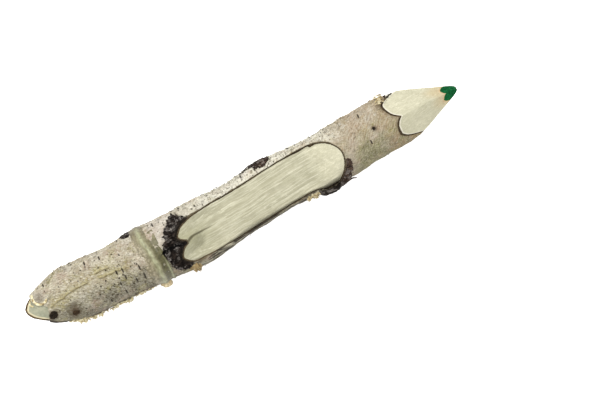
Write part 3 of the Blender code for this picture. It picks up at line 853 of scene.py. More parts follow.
def crust_finish():
    f = Finish("torn_dark_bark", 0.95, 0.04)
    thread = f.threads(2.6, 0.2, 0.1, turn=0.15)
    f.colour = f.mix(thread, tint(14, 12, 11), tint(46, 40, 35))
    f.lay(f.patches(1.3, 0.36, 0.06, 27.0), 0.4, tint(84, 71, 63))
    f.lay(f.both(f.value("worn"), f.threads(2.6, 0.4, 0.07, 19.0, turn=0.6)), 0.55, tint(122, 98, 82))
    f.lay(f.value("soot"), 0.93, tint(6, 6, 6))
    strands = f.both(f.threads(2.8, 0.13, 0.02, 7.0, turn=0.2), f.patches(1.8, 0.42, 0.06, 13.0))
    f.lay(f.both(strands, f.value("high")), 0.85, tint(172, 164, 156))
    return f.finished(thread, 0.14)


def paper_finish():
    f = Finish("cream_paper_bark", 0.85, 0.15)
    f.colour = f.mix(f.patches(0.9, 0.5, 0.1), tint(241, 234, 199), tint(210, 195, 148))
    f.lay(f.patches(0.7, 0.38, 0.05, 9.0), 0.85, tint(128, 104, 68))
    f.lay(f.dots(0.6, 0.36, 0.2), 0.7, tint(86, 67, 46))
    f.lay(f.both(f.value("aged"), f.patches(0.9, 0.72, 0.12, 15.0)), 0.88, tint(146, 122, 80))
    f.lay(f.value("scorched"), 0.95, tint(26, 21, 17))
    return f.finished(f.patches(0.35, 0.5, 0.25, 3.0), 0.06)


def resin_finish():
    f = Finish("dried_resin", 0.45, 0.3)
    cloud = f.patches(1.6, 0.5, 0.12)
    f.colour = f.mix(cloud, tint(150, 143, 111), tint(116, 109, 79))
    old_bark = f.mix(f.patches(0.8, 0.5, 0.1, 23.0), tint(188, 177, 149), tint(122, 112, 88))
    f.lay(f.value("thin"), 0.75, old_bark)
    # Painted shade: the dark olive part of the band in front of the crest, turned from the light.
    f.lay(f.value("groove"), 0.92, f.mix(cloud, tint(97, 93, 56), tint(68, 65, 33)))
    f.lay(f.value("top"), 0.92, f.mix(cloud, tint(124, 114, 82), tint(98, 88, 60)))
    # Painted highlight: lighter tone along the raised crest and lip of the band.
    f.lay(f.value("crest"), 0.85, f.mix(cloud, tint(180, 182, 146), tint(148, 148, 112)))
    f.lay(f.value("nub"), 0.9, f.mix(cloud, tint(246, 228, 184), tint(214, 190, 144)))
    f.lay(f.threads(0.5, 1.6, 0.08, 13.0), 0.35, tint(98, 92, 68))
    f.lay(f.dots(1.3, 0.25, 0.4), 0.6, tint(84, 77, 57))
    f.set("Coat Weight", 0.1)
    return f.finished(f.patches(0.8, 0.5, 0.3, 3.0), 0.08)


def knot_finish():
    f = Finish("dark_knot", 0.95, 0.05)
    rough = f.patches(0.45, 0.5, 0.12)
    f.colour = f.mix(rough, tint(20, 17, 14), tint(54, 45, 35))
    f.lay(f.value("warm"), 0.9, f.mix(rough, tint(46, 36, 26), tint(78, 61, 43)))
    return f.finished(f.patches(0.3, 0.5, 0.25, 3.0), 0.1)


def lead_finish():
    f = Finish("green_lead", 0.6, 0.05)
    f.colour = f.mix(f.patches(0.7, 0.5, 0.12), tint(2, 84, 40), tint(20, 114, 60))
    f.lay(f.threads(1.4, 0.16, 0.08), 0.7, tint(0, 56, 27))
    return f.finished(f.threads(1.4, 0.16, 0.2), 0.06)


def glue_finish():
    f = Finish("soaked_glue", 0.5)
    f.colour = f.mix(f.patches(0.6, 0.5, 0.1), tint(206, 180, 142), tint(190, 166, 124))
    return f.finished()


def pith_finish():
    f = Finish("dry_pith", 0.95)
    pores = f.dots(0.35, 0.45, 0.7)
    f.colour = f.mix(pores, tint(150, 118, 82), tint(104, 78, 52))
    return f.finished(pores, 0.06)


PLAQUE_MIDDLE = (PLAQUE_START + PLAQUE_END) / 2
PLAQUE_EDGE = smooth_path(PLAQUE_OUTLINE, step=0.5)
CRACK = smooth_path(((54.8, -2.7), (56.3, -2.0), (59.5, -1.85), (64.0, -1.85)), step=0.4)
CRACK_DEPTH = 0.7
CRACK_WIDTH = 0.66
CRACK_NARROWING = 0.5


def surface_above(x, y, height):
    """Height of the twig's surface over places seen from above."""
    across = np.clip((twig_bend(x) - y) / twig_radius(x), -1.0, 1.0)
    reach = skin(x, np.arcsin(across)) + height
    return twig_centre(x)[..., 2] + np.sqrt(np.maximum(reach**2 - (y - twig_bend(x))**2, 0.01))


def plaque_plane(x, y):
    normal = np.array([math.sin(PLAQUE_PITCH), -math.sin(PLAQUE_ROLL), 0.0])
    normal[2] = math.sqrt(1.0 - normal @ normal)
    middle = twig_centre(PLAQUE_MIDDLE)
    level = twig_radius(PLAQUE_MIDDLE) - PLAQUE_DEPTH
    return middle[2] + (level - normal[0] * (x - middle[0]) - normal[1] * (y - middle[1])) / normal[2]


def crack_depth(x, y):
    """Groove of the crack that runs from the wedge of bark into the flat."""
    share = np.clip((x - CRACK[0, 0]) / (CRACK[-1, 0] - CRACK[0, 0]), 0.0, 1.0)
    width = CRACK_WIDTH - CRACK_NARROWING * share
    return CRACK_DEPTH * (1.0 - share)**0.6 * np.clip(1.0 - path_distance(CRACK, x, y) / width, 0.0, 1.0)


def plaque_relief(x, y):
    """Carved surface: a flat that runs out in a scoop at each end, through bast and bark at its edge."""
    layers = BARK + bast_thickness(x)
    centre = twig_centre(x)
    turn = np.arctan2(twig_bend(x) - y, plaque_plane(x, y) - centre[..., 2])
    flat_depth = skin(x, turn) - np.hypot(y - twig_bend(x), plaque_plane(x, y) - centre[..., 2]) - layers
    within = depth_inside(PLAQUE_EDGE, x, y)
    rear = 1.0 - smoothstep(*PLAQUE_REAR_RUN, x)
    slope = PLAQUE_SIDE_SLOPE + (PLAQUE_REAR_SLOPE - PLAQUE_SIDE_SLOPE) * rear
    slope = slope + (PLAQUE_FRONT_SLOPE - PLAQUE_SIDE_SLOPE) * smoothstep(*PLAQUE_FRONT_RUN, x)
    crown = PLAQUE_CROWN * np.clip(1.0 - within / PLAQUE_CROWN_REACH, 0.0, 1.0)**2
    cut = soft_min(flat_depth + crown, slope * within, PLAQUE_ROUNDING)
    cut = np.maximum(cut, PLAQUE_LEAST_SLOPE * within)
    rear_rim = 1.0 - smoothstep(*PLAQUE_REAR_RIM_RUN, x)
    rim = PLAQUE_RIM_SLOPE + (PLAQUE_REAR_RIM_SLOPE - PLAQUE_RIM_SLOPE) * rear_rim
    depth = np.where(within > 0.0, cut, rim * within)
    at = np.stack([x, y, np.zeros_like(x)], -1)
    grain = 0.022 * noise(at, (9.0, 0.5, 1.0), 3) + 0.05 * noise(at, (9.0, 3.5, 1.0), 4, 2)
    blade = 0.05 * noise(np.stack([x - 0.7 * y, x + y, 0 * x], -1), (1.6, 6.0, 1.0), 5, 2)
    grain = grain + blade * smoothstep(PLAQUE_END - 14.0, PLAQUE_END - 6.0, x)
    carved = surface_above(x, y, -layers - depth) + grain - crack_depth(x, y)
    return np.minimum(carved, CLEAR_HEIGHT - 1.0)


def plaque_cutter():
    xs = np.arange(PLAQUE_START - 3.0, PLAQUE_END + 3.0, 0.25)
    ys = np.arange(-12.0, 10.0, 0.2)
    return slab("plaque_cutter", xs, ys, plaque_relief, CLEAR_HEIGHT)


point_profile = smooth_through(POINT_PROFILE[:, 0], POINT_PROFILE[:, 1])


def point_cutter():
    """Five slightly hollow facets, rippled by the blade, down to a blunt tip; the top ridge is worn."""
    tip = twig_centre(TIP) - np.array([0.0, POINT_TIP_OFFSET, 0.0])
    shoulder = twig_centre(SHOULDER) - np.array([0.0, POINT_OFFSET, 0.0])
    axis = (tip - shoulder) / np.linalg.norm(tip - shoulder)
    up = square_to(axis, UP)
    across = np.cross(axis, up)
    profile_end = POINT_PROFILE[-1, 0]
    back = np.concatenate([[170.0, 60.0], np.arange(profile_end, 0.5, -0.25), [0.4, 0.2, 0.0]])
    sides = 260
    turn = full_turn(sides)
    facet = 2 * math.pi / POINT_FACETS
    past_ridge = np.mod(turn - POINT_RIDGE, 2 * math.pi)
    off = np.mod(past_ridge, facet) - facet / 2
    distance, angle = np.meshgrid(back, off, indexing="ij")
    number = np.floor(past_ridge / facet)[None, :] + 0 * distance
    beside_top = np.minimum(past_ridge, 2 * math.pi - past_ridge)[None, :] < facet / 2
    worn_ridge = np.clip(RIDGE_AT_TIP - RIDGE_WEAR * distance, RIDGE_LEAST, 1.0)
    ridge = np.where(beside_top, worn_ridge, POINT_HOLLOW)
    inner = point_profile(distance) + POINT_BACK_SLOPE * np.maximum(distance - profile_end, 0.0)
    at = np.stack([distance, inner * np.tan(angle), 40.0 * number], -1)
    ripple = 0.05 * noise(at, (5.0, 2.5, 1.0), 21, 2) + 0.018 * noise(at, (4.0, 0.4, 1.0), 22, 2)
    wide = inner + ripple * np.clip(distance / 3.0, 0.2, 1.0)
    radii = wide * (1.0 + ridge * (1.0 / np.cos(angle) - 1.0))
    return solid("point_cutter", *sleeve(tip - axis * back[:, None], radii, up, across))


BUTT_NOSE = on_skin(-0.75, BUTT_ROLL)
BUTT_TURN = Matrix.Rotation(BUTT_ANGLE, 4, 'Y') @ Matrix.Rotation(BUTT_ROLL, 4, 'X')
BUTT_NORMAL = np.array(BUTT_TURN.to_3x3())[:, 2]


def over_butt_cut(points):
    """Distance of points from the slanting cut at the butt, into the twig."""
    return (points - BUTT_NOSE) @ BUTT_NORMAL


def saw_marks(u, v):
    at = np.stack([u, v, np.zeros_like(u)], -1)
    return 0.04 * noise(at, (1.2, 9.0, 1.0), 31) + 0.03 * noise(at, 3.0, 32)


def butt_cutter():
    """Block whose rough upper face is the slanting cut at the butt."""
    us = np.arange(-10.0, 46.0, 0.35)
    vs = np.arange(-14.0, 14.0, 0.35)
    return slab("butt_cutter", us, vs, saw_marks, -60.0, Matrix.Translation(Vector(BUTT_NOSE)) @ BUTT_TURN)


POINT = point_cutter()
BUTT = butt_cutter()
PLAQUE = plaque_cutter()


def trim(piece, *cutters):
    """Cut a layer to the point and the slanting butt, and then by what is given."""
    carve(piece, POINT, 'INTERSECT')
    for cutter in (BUTT, *cutters):
        carve(piece, cutter)


def rod(name, start, end, radius, sides=64):
    """Round bar on the lead's axis, from one distance to another ahead of the lead's back end."""
    back = twig_centre(LEAD_BACK)
    along = twig_centre(TIP) - back
    along /= np.linalg.norm(along)
    up = square_to(along, UP)
    centres = back + np.outer((start, end), along)
    return solid(name, *sleeve(centres, np.full((2, sides), radius), up, np.cross(along, up)))


def drop(*tools):
    for tool in tools:
        bpy.data.objects.remove(tool)


def wood_top(place, _angle):
    return -BARK - bast_thickness(place)


def bast_top(place, angle):
    return -BARK - FILM + 0.05 * noise(wrapped(place, angle), (1.5, 0.8, 0.8), 8)


def make_wood():
    wood = twig_sleeve("birch_wood", -4.0, TIP + 2.0, step=0.8, sides=96, height=wood_top)
    bore = rod("bore", -GLUE_PLUG - FILM, ROD_END, LEAD_RADIUS + GLUE_FILM + FILM)
    channel = centre_rod("channel", -8.0, PITH_END + 1.1, step=1.5, sides=24, radius=PITH_RADIUS + FILM)
    trim(wood, PLAQUE, bore, channel)
    drop(bore, channel)
    shed(wood)
    points = corners_of(wood)
    along, turn, height = twig_chart(points)
    reach = height + skin(along, turn)
    pointed = along > SHOULDER - 5.0
    carved = (along > PLAQUE_START) & (along < PLAQUE_END)
    flat_end = 0.55 * smoothstep(PLAQUE_END - 13.0, PLAQUE_END - 5.0, along) * (along < PLAQUE_END + 4)
    # Where greenish shade is painted: the rear scoop by the crack, and the point's side turned from the light.
    flat_rear = 1.0 - smoothstep(PLAQUE_START + 3.0, PLAQUE_START + 16.0, along)
    by_crack = np.exp(-((points[:, 1] + 2.6) / 4.2)**2) * (along > PLAQUE_START - 6.0)
    write(wood,
          ring=reach,
          heart=(1.0 - smoothstep(2.7, 4.6, reach)) * (along > SHOULDER - 4.0),
          fresh=flat_end + 0.5 * pointed,
          sawn=(along < BAND_START) & (over_butt_cut(points) < 0.3),
          green=flat_rear * by_crack + 0.35 * (along > SHOULDER) * (turn > 0),
          point=pointed,
          layer=np.clip(-height - BARK - bast_thickness(along), 0.0, 1.0),
          crack=np.clip(crack_depth(points[:, 0], points[:, 1]) * 2.2, 0.0, 1.0) * carved)
    put(wood, birch_wood_finish(), "wood", "wood_stem")


# Where the bark has come off at the shoulder, seen from above, and how much further the bast is left
SHOULDER_TEAR = ((128.6, 5.0), (129.0, 7.4), (128.5, 8.6), (128.8, 13.0), (142.0, 13.0), (142.0, 5.0))
BAST_LEFT = 0.8


def shoulder_tear(start):
    """Cutter for the bark that has come off at the upper corner of the shoulder, from a little further on."""
    outline = ragged(np.array(SHOULDER_TEAR) + (start, 0.0), step=0.4, amount=0.25, seed=53)
    return prism("tear", outline, SIDE_HEIGHT, CLEAR_HEIGHT)


def make_bast():
    bast = twig_sleeve("brown_bast", -4.0, TIP, step=0.5, sides=160, height=bast_top)
    core = twig_sleeve("core", -6.0, TIP + 4.0, step=0.8, sides=96,
                       height=lambda place, angle: wood_top(place, angle) + FILM)
    tear = shoulder_tear(BAST_LEFT)
    trim(bast, core, PLAQUE, tear)
    drop(core, tear)
    shed(bast)
    points = corners_of(bast)
    along, turn, _ = twig_chart(points)
    edge_width = 0.28 + 0.6 * np.abs(np.sin(turn - BUTT_ROLL))
    write(bast,
          nose=along < 12.0,
          edge=np.clip(over_butt_cut(points) / edge_width, 0.0, 4.0),
          warm=(along > PLAQUE_START - 3.0) * (1.0 - smoothstep(58.0, 66.0, along)),
          soot=smoothstep(0.3, 0.6, np.sin(turn)))
    put(bast, bast_finish(), "inner_bark", "inner_bark")


# Edges where the papery bark has split, seen from above
PEEL_SEAMS = (
    ((8.0, -1.0), (10.4, -0.4), (12.6, -0.25), (14.5, 0.4), (18.0, 0.6), (21.3, 0.6), (21.3, 1.3)),
    ((24.6, 1.9), (26.6, 2.1), (29.0, 1.7)),
    ((25.0, 0.1), (28.0, -0.3), (31.0, -0.3), (33.8, -0.9)),
)
SEAM_WIDTH = 0.24


def seam_mask(points, width, shift=0.0):
    """Nearness to the yellowish edges of split papery bark, or to lines beside them, seen from above."""
    x, y = points[..., 0], points[..., 1] + shift
    nearest = np.min([path_distance(np.array(path), x, y) for path in PEEL_SEAMS], axis=0)
    return np.exp(-(nearest / width)**2) * (points[..., 2] > twig_centre(x)[..., 2])


def bark_relief(place, angle):
    """Surface of the papery bark over the twig's mean radius."""
    at = wrapped(place, angle)
    lumps = 0.18 * noise(at, 8.0, 41) + 0.10 * noise(at, (2.2, 1.5, 1.5), 42)
    sheets = 0.10 * smoothstep(0.10, 0.17, noise(at, (7.0, 3.2, 3.2), 43))
    fine = 0.055 * noise(at, 0.7, 44, 2)
    warts = 0.22 * wart_zone(place, angle) * np.maximum(noise(at, 1.1, 45, 2), 0.0)
    seams = 0.13 * seam_mask(on_skin(place, angle), SEAM_WIDTH)
    return lumps + sheets + fine + warts + seams


def wart_zone(along, turn):
    """Rough, speckled bark: the strip above the carved flat and the upper side in front of it."""
    upper = smoothstep(0.25, 0.55, -np.sin(turn)) * smoothstep(-0.5, 0.0, np.cos(turn))
    return upper * stretch(ROUGH_STRETCH, along)


# The bare patch at the butt's nose, seen from above
NOSE_PATCH = ((-4.0, 7.0), (2.4, 7.0), (3.3, 4.6), (3.3, 2.8), (4.1, 1.2), (6.1, 0.4), (6.9, -0.6),
              (6.7, -2.0), (6.0, -3.4), (5.2, -5.2), (3.6, -6.8), (1.2, -8.0), (-4.0, -8.0))
# Knots: place along the twig, turn from the top, radius, and reach of the brown bark round them
KNOTS = {
    "butt_knot": (7.4, math.radians(21.0), 1.35, 1.7),
    "side_knot": (14.0, math.radians(38.0), 1.15, 1.7),
    "front_knot": (121.5, math.radians(-5.0), 0.5, 0.95),
}
# Stretches of the bark along the twig: where each starts to fade in, is full from and to, and has faded out
ROUGH_STRETCH = (PLAQUE_START, PLAQUE_START + 6.0, 124.0, 128.0)
PALE_STRETCH = (BAND_END - 1.0, BAND_END + 1.0, 52.0, 55.0)
STAINED_STRETCH = (PLAQUE_START - 2, PLAQUE_START + 6, 98.0, 104.0)
FRINGE_STRETCH = (11.0, 16.0, 38.0, 40.0)
DASHED_STRETCH = (24.0, 30.0, BAND_START - 1, BAND_START + 1)
# Spots on the bark: middle seen from above, and reach along the twig and across it
NOTCH_GLOW = (126.4, -0.4, 1.5, 2.2)
WHITE_SPOT = (79.6, 7.5, 2.1, 0.9)
BROWN_LIP = (5.8, 2.9, 1.5, 1.7)
# The smudge is drawn round the twig: along it, and round it from the top
SMUDGE = (13.8, 5.3, 1.7, 2.7)
BLUSH_START = 108.0
BLUSH_MIDDLE = 113.0
BLUSH_WIDTH = 1.6
BLUSH_SLANT = 0.5


def make_bark():
    bark = twig_sleeve("papery_bark", -3.0, 140.0, step=0.3, sides=182, height=bark_relief)
    core = twig_core(-6.0, TIP, BARK)
    patch = prism("patch", ragged(NOSE_PATCH, step=0.4, amount=0.25, seed=51), UPPER_HEIGHT, CLEAR_HEIGHT)
    tear = shoulder_tear(0.0)
    trim(bark, core, PLAQUE, patch, tear)
    drop(core, patch, tear)
    shed(bark)
    body = mesh_arrays(bark)
    drop(bark)
    rng = np.random.default_rng(52)
    shreds = [splinter(*shred, rng, sides=4) for shred in bark_shreds(rng)]
    bark = gather("papery_bark", [body, *shreds])
    mark_bark(bark)
    put(bark, bark_finish(), "outer_bark", "outer_bark")


def mark_bark(bark):
    """Where the tones and marks of the papery bark lie, and where shade is painted on its side turned from the
    light.
    """
    points = corners_of(bark)
    along, turn, height = twig_chart(points)
    x, y, z = points.T
    lower = np.sin(turn)
    upward = np.cos(turn)
    seen = z > UPPER_HEIGHT
    depth = bark_relief(along, turn) - height
    shoulder = smoothstep(SHOULDER - 8.0, SHOULDER - 6.0, along)
    # Painted shade: darker towards the side turned from the light, and on the underside; written as under.
    shade = smoothstep(-0.3, 0.7, lower)
    notch = spot(NOTCH_GLOW, along, y) * seen
    beside_band = stretch(PALE_STRETCH, along) * smoothstep(0.1, -0.3, lower) * smoothstep(-0.8, 0.0, upward)
    blush = np.exp(-((x - BLUSH_SLANT * y - BLUSH_MIDDLE) / BLUSH_WIDTH)**2) * (along > BLUSH_START)
    write(bark,
          cut=smoothstep(0.05, 0.2 + 0.4 * shoulder, depth) * (1.0 - 0.25 * shoulder),
          around=turn * MEAN_RADIUS,
          under=shade + (0.75 - shade) * smoothstep(0.0, 0.7, -upward),
          front=smoothstep(104.0, 114.0, along),
          warts=wart_zone(along, turn) * (0.4 + 0.6 * smoothstep(58.0, 68.0, along)),
          seam=seam_mask(points, SEAM_WIDTH),
          seam_shade=seam_mask(points, SEAM_WIDTH, 0.45),
          seam_glow=np.maximum(seam_mask(points, 1.6), notch),
          pale=np.maximum(0.65 * beside_band, spot(WHITE_SPOT, along, y, 4) * seen),
          blush=blush * smoothstep(-0.1, 0.3, upward))
    beside_flat = 1.0 - smoothstep(0.6, 2.2, -depth_inside(PLAQUE_EDGE, x, y))
    tan = smoothstep(92.0, 98.0, along) * beside_flat * (upward > 0) * smoothstep(0.2, -0.1, lower)
    upper_front = 0.45 * smoothstep(102.0, 108.0, along) * smoothstep(0.0, -0.4, lower)
    tan = np.max([tan, upper_front, smoothstep(SHOULDER - 6.0, SHOULDER - 1.0, along)], axis=0)
    stain = stretch(STAINED_STRETCH, along) * smoothstep(0.55, 0.8, lower) * smoothstep(-0.35, 0.0, upward)
    brown = [0.5 * spot(BROWN_LIP, along, y, 4) * seen,
             spot(SMUDGE, along, turn * MEAN_RADIUS),
             0.85 * stretch(FRINGE_STRETCH, along) * smoothstep(0.93, 0.99, lower)]
    for knot_along, knot_turn, _, halo in KNOTS.values():
        far = np.hypot(along - knot_along, (turn - knot_turn) * MEAN_RADIUS)
        brown.append(np.exp(-(far / halo)**4))
    char = (along < 11.5) * smoothstep(0.35, 0.6, lower) * (1.0 - smoothstep(0.5, 1.1, over_butt_cut(points)))
    under_crust = smoothstep(-0.5, 0.3, seen_from_above(REAR_CRUST)(along, turn))
    sparse = 0.07 - 0.055 * smoothstep(98.0, 106.0, along)
    write(bark,
          tan=tan * (1.0 - 0.85 * notch),
          stain=stain,
          brown=np.max(brown, axis=0),
          char=np.maximum(char, under_crust),
          dashes=sparse + 0.26 * stretch(DASHED_STRETCH, along) * smoothstep(-0.5, 0.2, lower))


def make_lead():
    lead = rod("green_lead", 0.0, ROD_END, LEAD_RADIUS, sides=96)
    carve(lead, POINT, 'INTERSECT')
    put(lead, lead_finish(), "lead", "coloured_lead", sharp=20.0)
    glue = rod("soaked_glue", -GLUE_PLUG, ROD_END, LEAD_RADIUS + GLUE_FILM, sides=96)
    carve(glue, POINT, 'INTERSECT')
    seat = rod("seat", -FILM, ROD_END + 10.0, LEAD_RADIUS + FILM, sides=96)
    carve(glue, seat)
    drop(seat)
    shed(glue)
    put(glue, glue_finish(), "glue", "lead_glue")
    pith = centre_rod("dry_pith", -6.0, PITH_END, step=0.8, sides=32, radius=PITH_RADIUS)
    carve(pith, BUTT)
    put(pith, pith_finish(), "pith", "pith")


BAND_FOOT = 0.06
BAND_SEAT = 0.05
CREST_AT = 42.4
LIP_AT = 45.4
NUB_RADIUS = 1.85
NUB_CENTRE = on_skin(42.9, math.radians(94.0), 0.35)


def band_wander(angle):
    """How far the band strays along the twig, from one side to another."""
    return 0.35 * np.sin(angle) + 0.5 * noise(wrapped(0 * angle, angle), 5.0, 61, 2)


def band_profile(place, angle):
    at = wrapped(place, angle)
    share = place - band_wander(angle)
    crest = 0.5 * np.exp(-((share - CREST_AT) / 0.85)**2) * (1.0 + 0.5 * noise(at * [0, 1, 1], 3.0, 64, 2))
    body = 0.34 * smoothstep(39.4, 41.0, share) * (1.0 - smoothstep(43.4, 44.6, share))
    lip = 0.26 * np.exp(-((share - LIP_AT) / 0.4)**2) * smoothstep(-0.6, 0.2, np.sin(angle))
    return BAND_FOOT + body + crest + lip + 0.09 * noise(at, (1.8, 2.6, 2.6), 62, 3)


def make_band():
    """Uneven ring of dried resin: a wandering crest, a groove in front of it, and a nub below."""
    start, end = BAND_START - 0.4, BAND_END + 1.5
    ring = twig_sleeve("resin_ring", start, end, step=0.14, sides=300, height=band_profile)
    cage = bmesh.new()
    bmesh.ops.create_icosphere(cage, subdivisions=5, radius=NUB_RADIUS)
    mesh = bpy.data.meshes.new("nub")
    cage.to_mesh(mesh)
    cage.free()
    nub = link("nub", mesh)
    shaped = corners_of(nub)
    shaped *= 1.0 + 0.2 * noise(shaped, 1.5, 63, 3)[:, None]
    mesh.vertices.foreach_set("co", (shaped + NUB_CENTRE).ravel())
    carve(ring, nub, 'UNION')
    core = twig_core(start - 2, end + 2, BAND_SEAT)
    carve(ring, core)
    drop(nub, core)
    points = corners_of(ring)
    along, turn, _ = twig_chart(points)
    share = along - band_wander(turn)
    lower = np.sin(turn)
    # Masks for the painted highlight on the crest and lip, and for the painted shade on the band in front of
    # the crest.
    crest = np.exp(-((share - CREST_AT) / 0.65)**2) * smoothstep(1.0, 0.8, -lower)
    lip = np.exp(-((share - LIP_AT - 0.1) / 0.3)**2) * smoothstep(0.2, 0.5, lower)
    write(ring,
          crest=np.maximum(crest, lip),
          groove=smoothstep(42.9, 43.8, share) * smoothstep(-0.6, -0.1, lower),
          top=smoothstep(0.55, 0.85, -lower),
          thin=1.0 - smoothstep(40.4, 41.6, share),
          nub=1.0 - smoothstep(2.1, 2.6, np.linalg.norm(points - NUB_CENTRE, axis=1)))
    put(ring, resin_finish(), "resin", "resin_band")


# Side of a knot: depth below the bark's mean surface, and share of the knot's radius
KNOT_PROFILE = np.array((
    (2.2, 0.7),
    (1.0, 0.85),
    (0.4, 0.95),
    (0.1, 1.0),
    (-0.12, 0.92),
    (-0.2, 0.6),
    (-0.16, 0.2),
))
KNOT_SIDES = 40


def make_knots():
    finish = knot_finish()
    spin = full_turn(KNOT_SIDES)
    with_twig = np.array([1.0, 0.0, 0.0])
    for number, (name, (along, turn, radius, _)) in enumerate(KNOTS.items()):
        outward = around(turn)
        across = np.cross(outward, with_twig)
        ring = np.stack([np.cos(spin), np.sin(spin), 0 * spin + number], -1)
        rough = 1.0 + 0.24 * noise(ring * 1.3, 1.0, 71)
        centres = twig_centre(along) + np.outer(skin(along, turn) - KNOT_PROFILE[:, 0], outward)
        radii = radius * np.outer(KNOT_PROFILE[:, 1], rough)
        plug = solid(name.replace("_knot", "_dark_knot"), *sleeve(centres, radii, with_twig, -across))
        write(plug, warm=np.full(len(plug.data.vertices), name == "side_knot"))
        put(plug, finish, "knot", name)


def splinter(start, heading, length, width, thick, lift, rng, sides=8):
    """Thin tapered strip of bark that starts on the surface and lifts off towards its end."""
    count = 7
    share = np.linspace(0.0, 1.0, count)
    along, turn, height = start
    place = along + share * length * heading[0]
    angle = turn + share * length * heading[1] / MEAN_RADIUS
    rise = height + lift * share**2 + 0.08 * rng.normal(size=count)
    centres = on_skin(place, angle, rise)
    taper = np.clip(np.minimum(share * 6 + 0.4, (1 - share) * 2.2 + 0.12), 0.0, 1.0)
    spin = full_turn(sides)
    flat = width * thick / np.sqrt((width * np.cos(spin))**2 + (thick * np.sin(spin))**2)
    run = centres[-1] - centres[0]
    run /= np.linalg.norm(run)
    up = square_to(run, around(np.mean(angle)))
    return sleeve(centres, np.outer(taper, flat), up, np.cross(run, up))


def gather(name, parts):
    """One object out of several bodies."""
    points, faces, count = [], [], 0
    for body_points, body_faces in parts:
        points.append(body_points)
        faces += [[corner + count for corner in face] for face in body_faces]
        count += len(body_points)
    return solid(name, np.concatenate(points), faces)


def mesh_arrays(piece):
    return corners_of(piece), [list(face.vertices) for face in piece.data.polygons]


def turn_at(along, across):
    """Turn at which the twig's surface shows at this place in a view from above."""
    share = (twig_bend(along) - across) / twig_radius(along)
    return np.arcsin(np.clip(share, -1.0, 1.0))


def seen_from_above(outline):
    """How far places lie inside an outline seen from above, and short of the crust's reach round the twig."""
    path = np.array(outline)

    def cover(along, turn):
        points = on_skin(along, turn)
        round_twig = np.abs(np.mod(turn + math.pi, 2 * math.pi) - math.pi)
        inside = depth_inside(path, points[..., 0], points[..., 1])
        return np.minimum(inside, MEAN_RADIUS * (CRUST_REACH - round_twig))

    return cover


def drawn_round(outline):
    """How far places lie inside an outline drawn on the twig: place along it, and turn in degrees."""
    path = np.array(outline) * (1.0, math.radians(1.0) * MEAN_RADIUS)

    def cover(along, turn):
        turn = np.mod(turn + math.pi, 2 * math.pi) - math.pi
        return depth_inside(path, along, turn * MEAN_RADIUS)

    return cover


def torn_crust(name, node, outline, covering, tear, relief, strips, seed):
    """Patch of dark torn bark with a ragged edge, with strips of it lifted, melted into one skin."""
    rng = np.random.default_rng(seed)
    places = np.asarray(outline)[:, 0]
    low, high = places.min() - 1.5, places.max() + 1.5
    sunk = CRUST_SEAT + 0.2
    inside = covering(outline)

    def surface(place, angle):
        frayed = inside(place, angle) + tear * noise(wrapped(place, angle), (1.8, 0.5, 0.5), seed)
        return (relief(place, angle) + sunk) * smoothstep(-0.1, 0.15, frayed) - sunk

    base = twig_sleeve(name, low, high, step=0.14, sides=420, height=surface)
    core = twig_core(low - 1, high + 1, CRUST_SEAT)
    carve(base, core)
    parts = [mesh_arrays(base)]
    drop(base, core)
    parts += [splinter(*strip, rng) for strip in strips(rng)]
    crust = gather(name, parts)
    fuse(crust, voxel=0.12)
    carve(crust, PLAQUE)
    shed(crust)
    points = corners_of(crust)
    along, _, height = twig_chart(points)
    from_wedge = path_distance(np.array(SOOT_WEDGE), points[:, 0], points[:, 1])
    write(crust,
          worn=np.maximum(smoothstep(104.0, 108.0, along), np.exp(-((along - 86.0) / 1.6)**2)),
          high=smoothstep(0.1, 0.6, height),
          soot=np.exp(-(from_wedge / SOOT_REACH)**2))
    put(crust, CRUST, "crust", node, sharp=60.0)


# Torn bark: the crusts as seen from above, the two flakes drawn round the twig with turns in degrees
REAR_CRUST = ((52.6, 6.3), (53.7, 6.8), (55.0, 6.0), (56.8, 4.6), (60.0, 3.0), (60.0, -7.0),
              (55.0, -8.4), (53.5, -9.5), (51.2, -9.9), (48.6, -9.2), (47.1, -7.2), (46.6, -4.8),
              (45.4, -2.5), (46.9, -1.2), (48.4, 0.4), (49.1, 3.1), (51.1, 4.9))
FRONT_CRUST = ((97.4, -7.4), (97.6, -11.0), (106.0, -11.0), (108.4, -8.0), (110.2, -6.2), (110.9, -4.6),
               (110.8, -3.2), (110.2, -2.3), (108.0, -2.6), (104.0, -5.0), (99.8, -6.0))
UPPER_FLAKE = ((78.0, -71), (81.6, -69), (83.0, -61), (84.4, -52), (86.4, -50), (87.7, -58), (88.7, -74),
               (88.0, -88), (86.8, -96), (85.2, -100), (83.6, -93), (82.0, -83), (78.2, -79))
BAND_CHIP = ((35.7, -73), (36.6, -64), (37.6, -58), (38.9, -57), (39.6, -64), (39.9, -76), (39.2, -87),
             (38.1, -93), (36.9, -88), (36.1, -80))
# The blackest line of the rear crust, seen from above
SOOT_WEDGE = ((45.2, -2.6), (49.0, -2.2), (55.5, -2.6))
SOOT_REACH = 1.2
CRUST_REACH = math.radians(99.0)
CRUST_SEAT = 0.5
# How far the front crust stands off the twig's lower side: place along the twig, and height
FRONT_BULGE = np.array((
    (96.0, 0.0),
    (97.6, 0.1),
    (99.0, 0.8),
    (100.4, 1.1),
    (104.0, 0.9),
    (106.0, 0.8),
    (108.0, 0.35),
    (112.0, 0.2),
))
front_bulge = smooth_through(FRONT_BULGE[:, 0], FRONT_BULGE[:, 1])


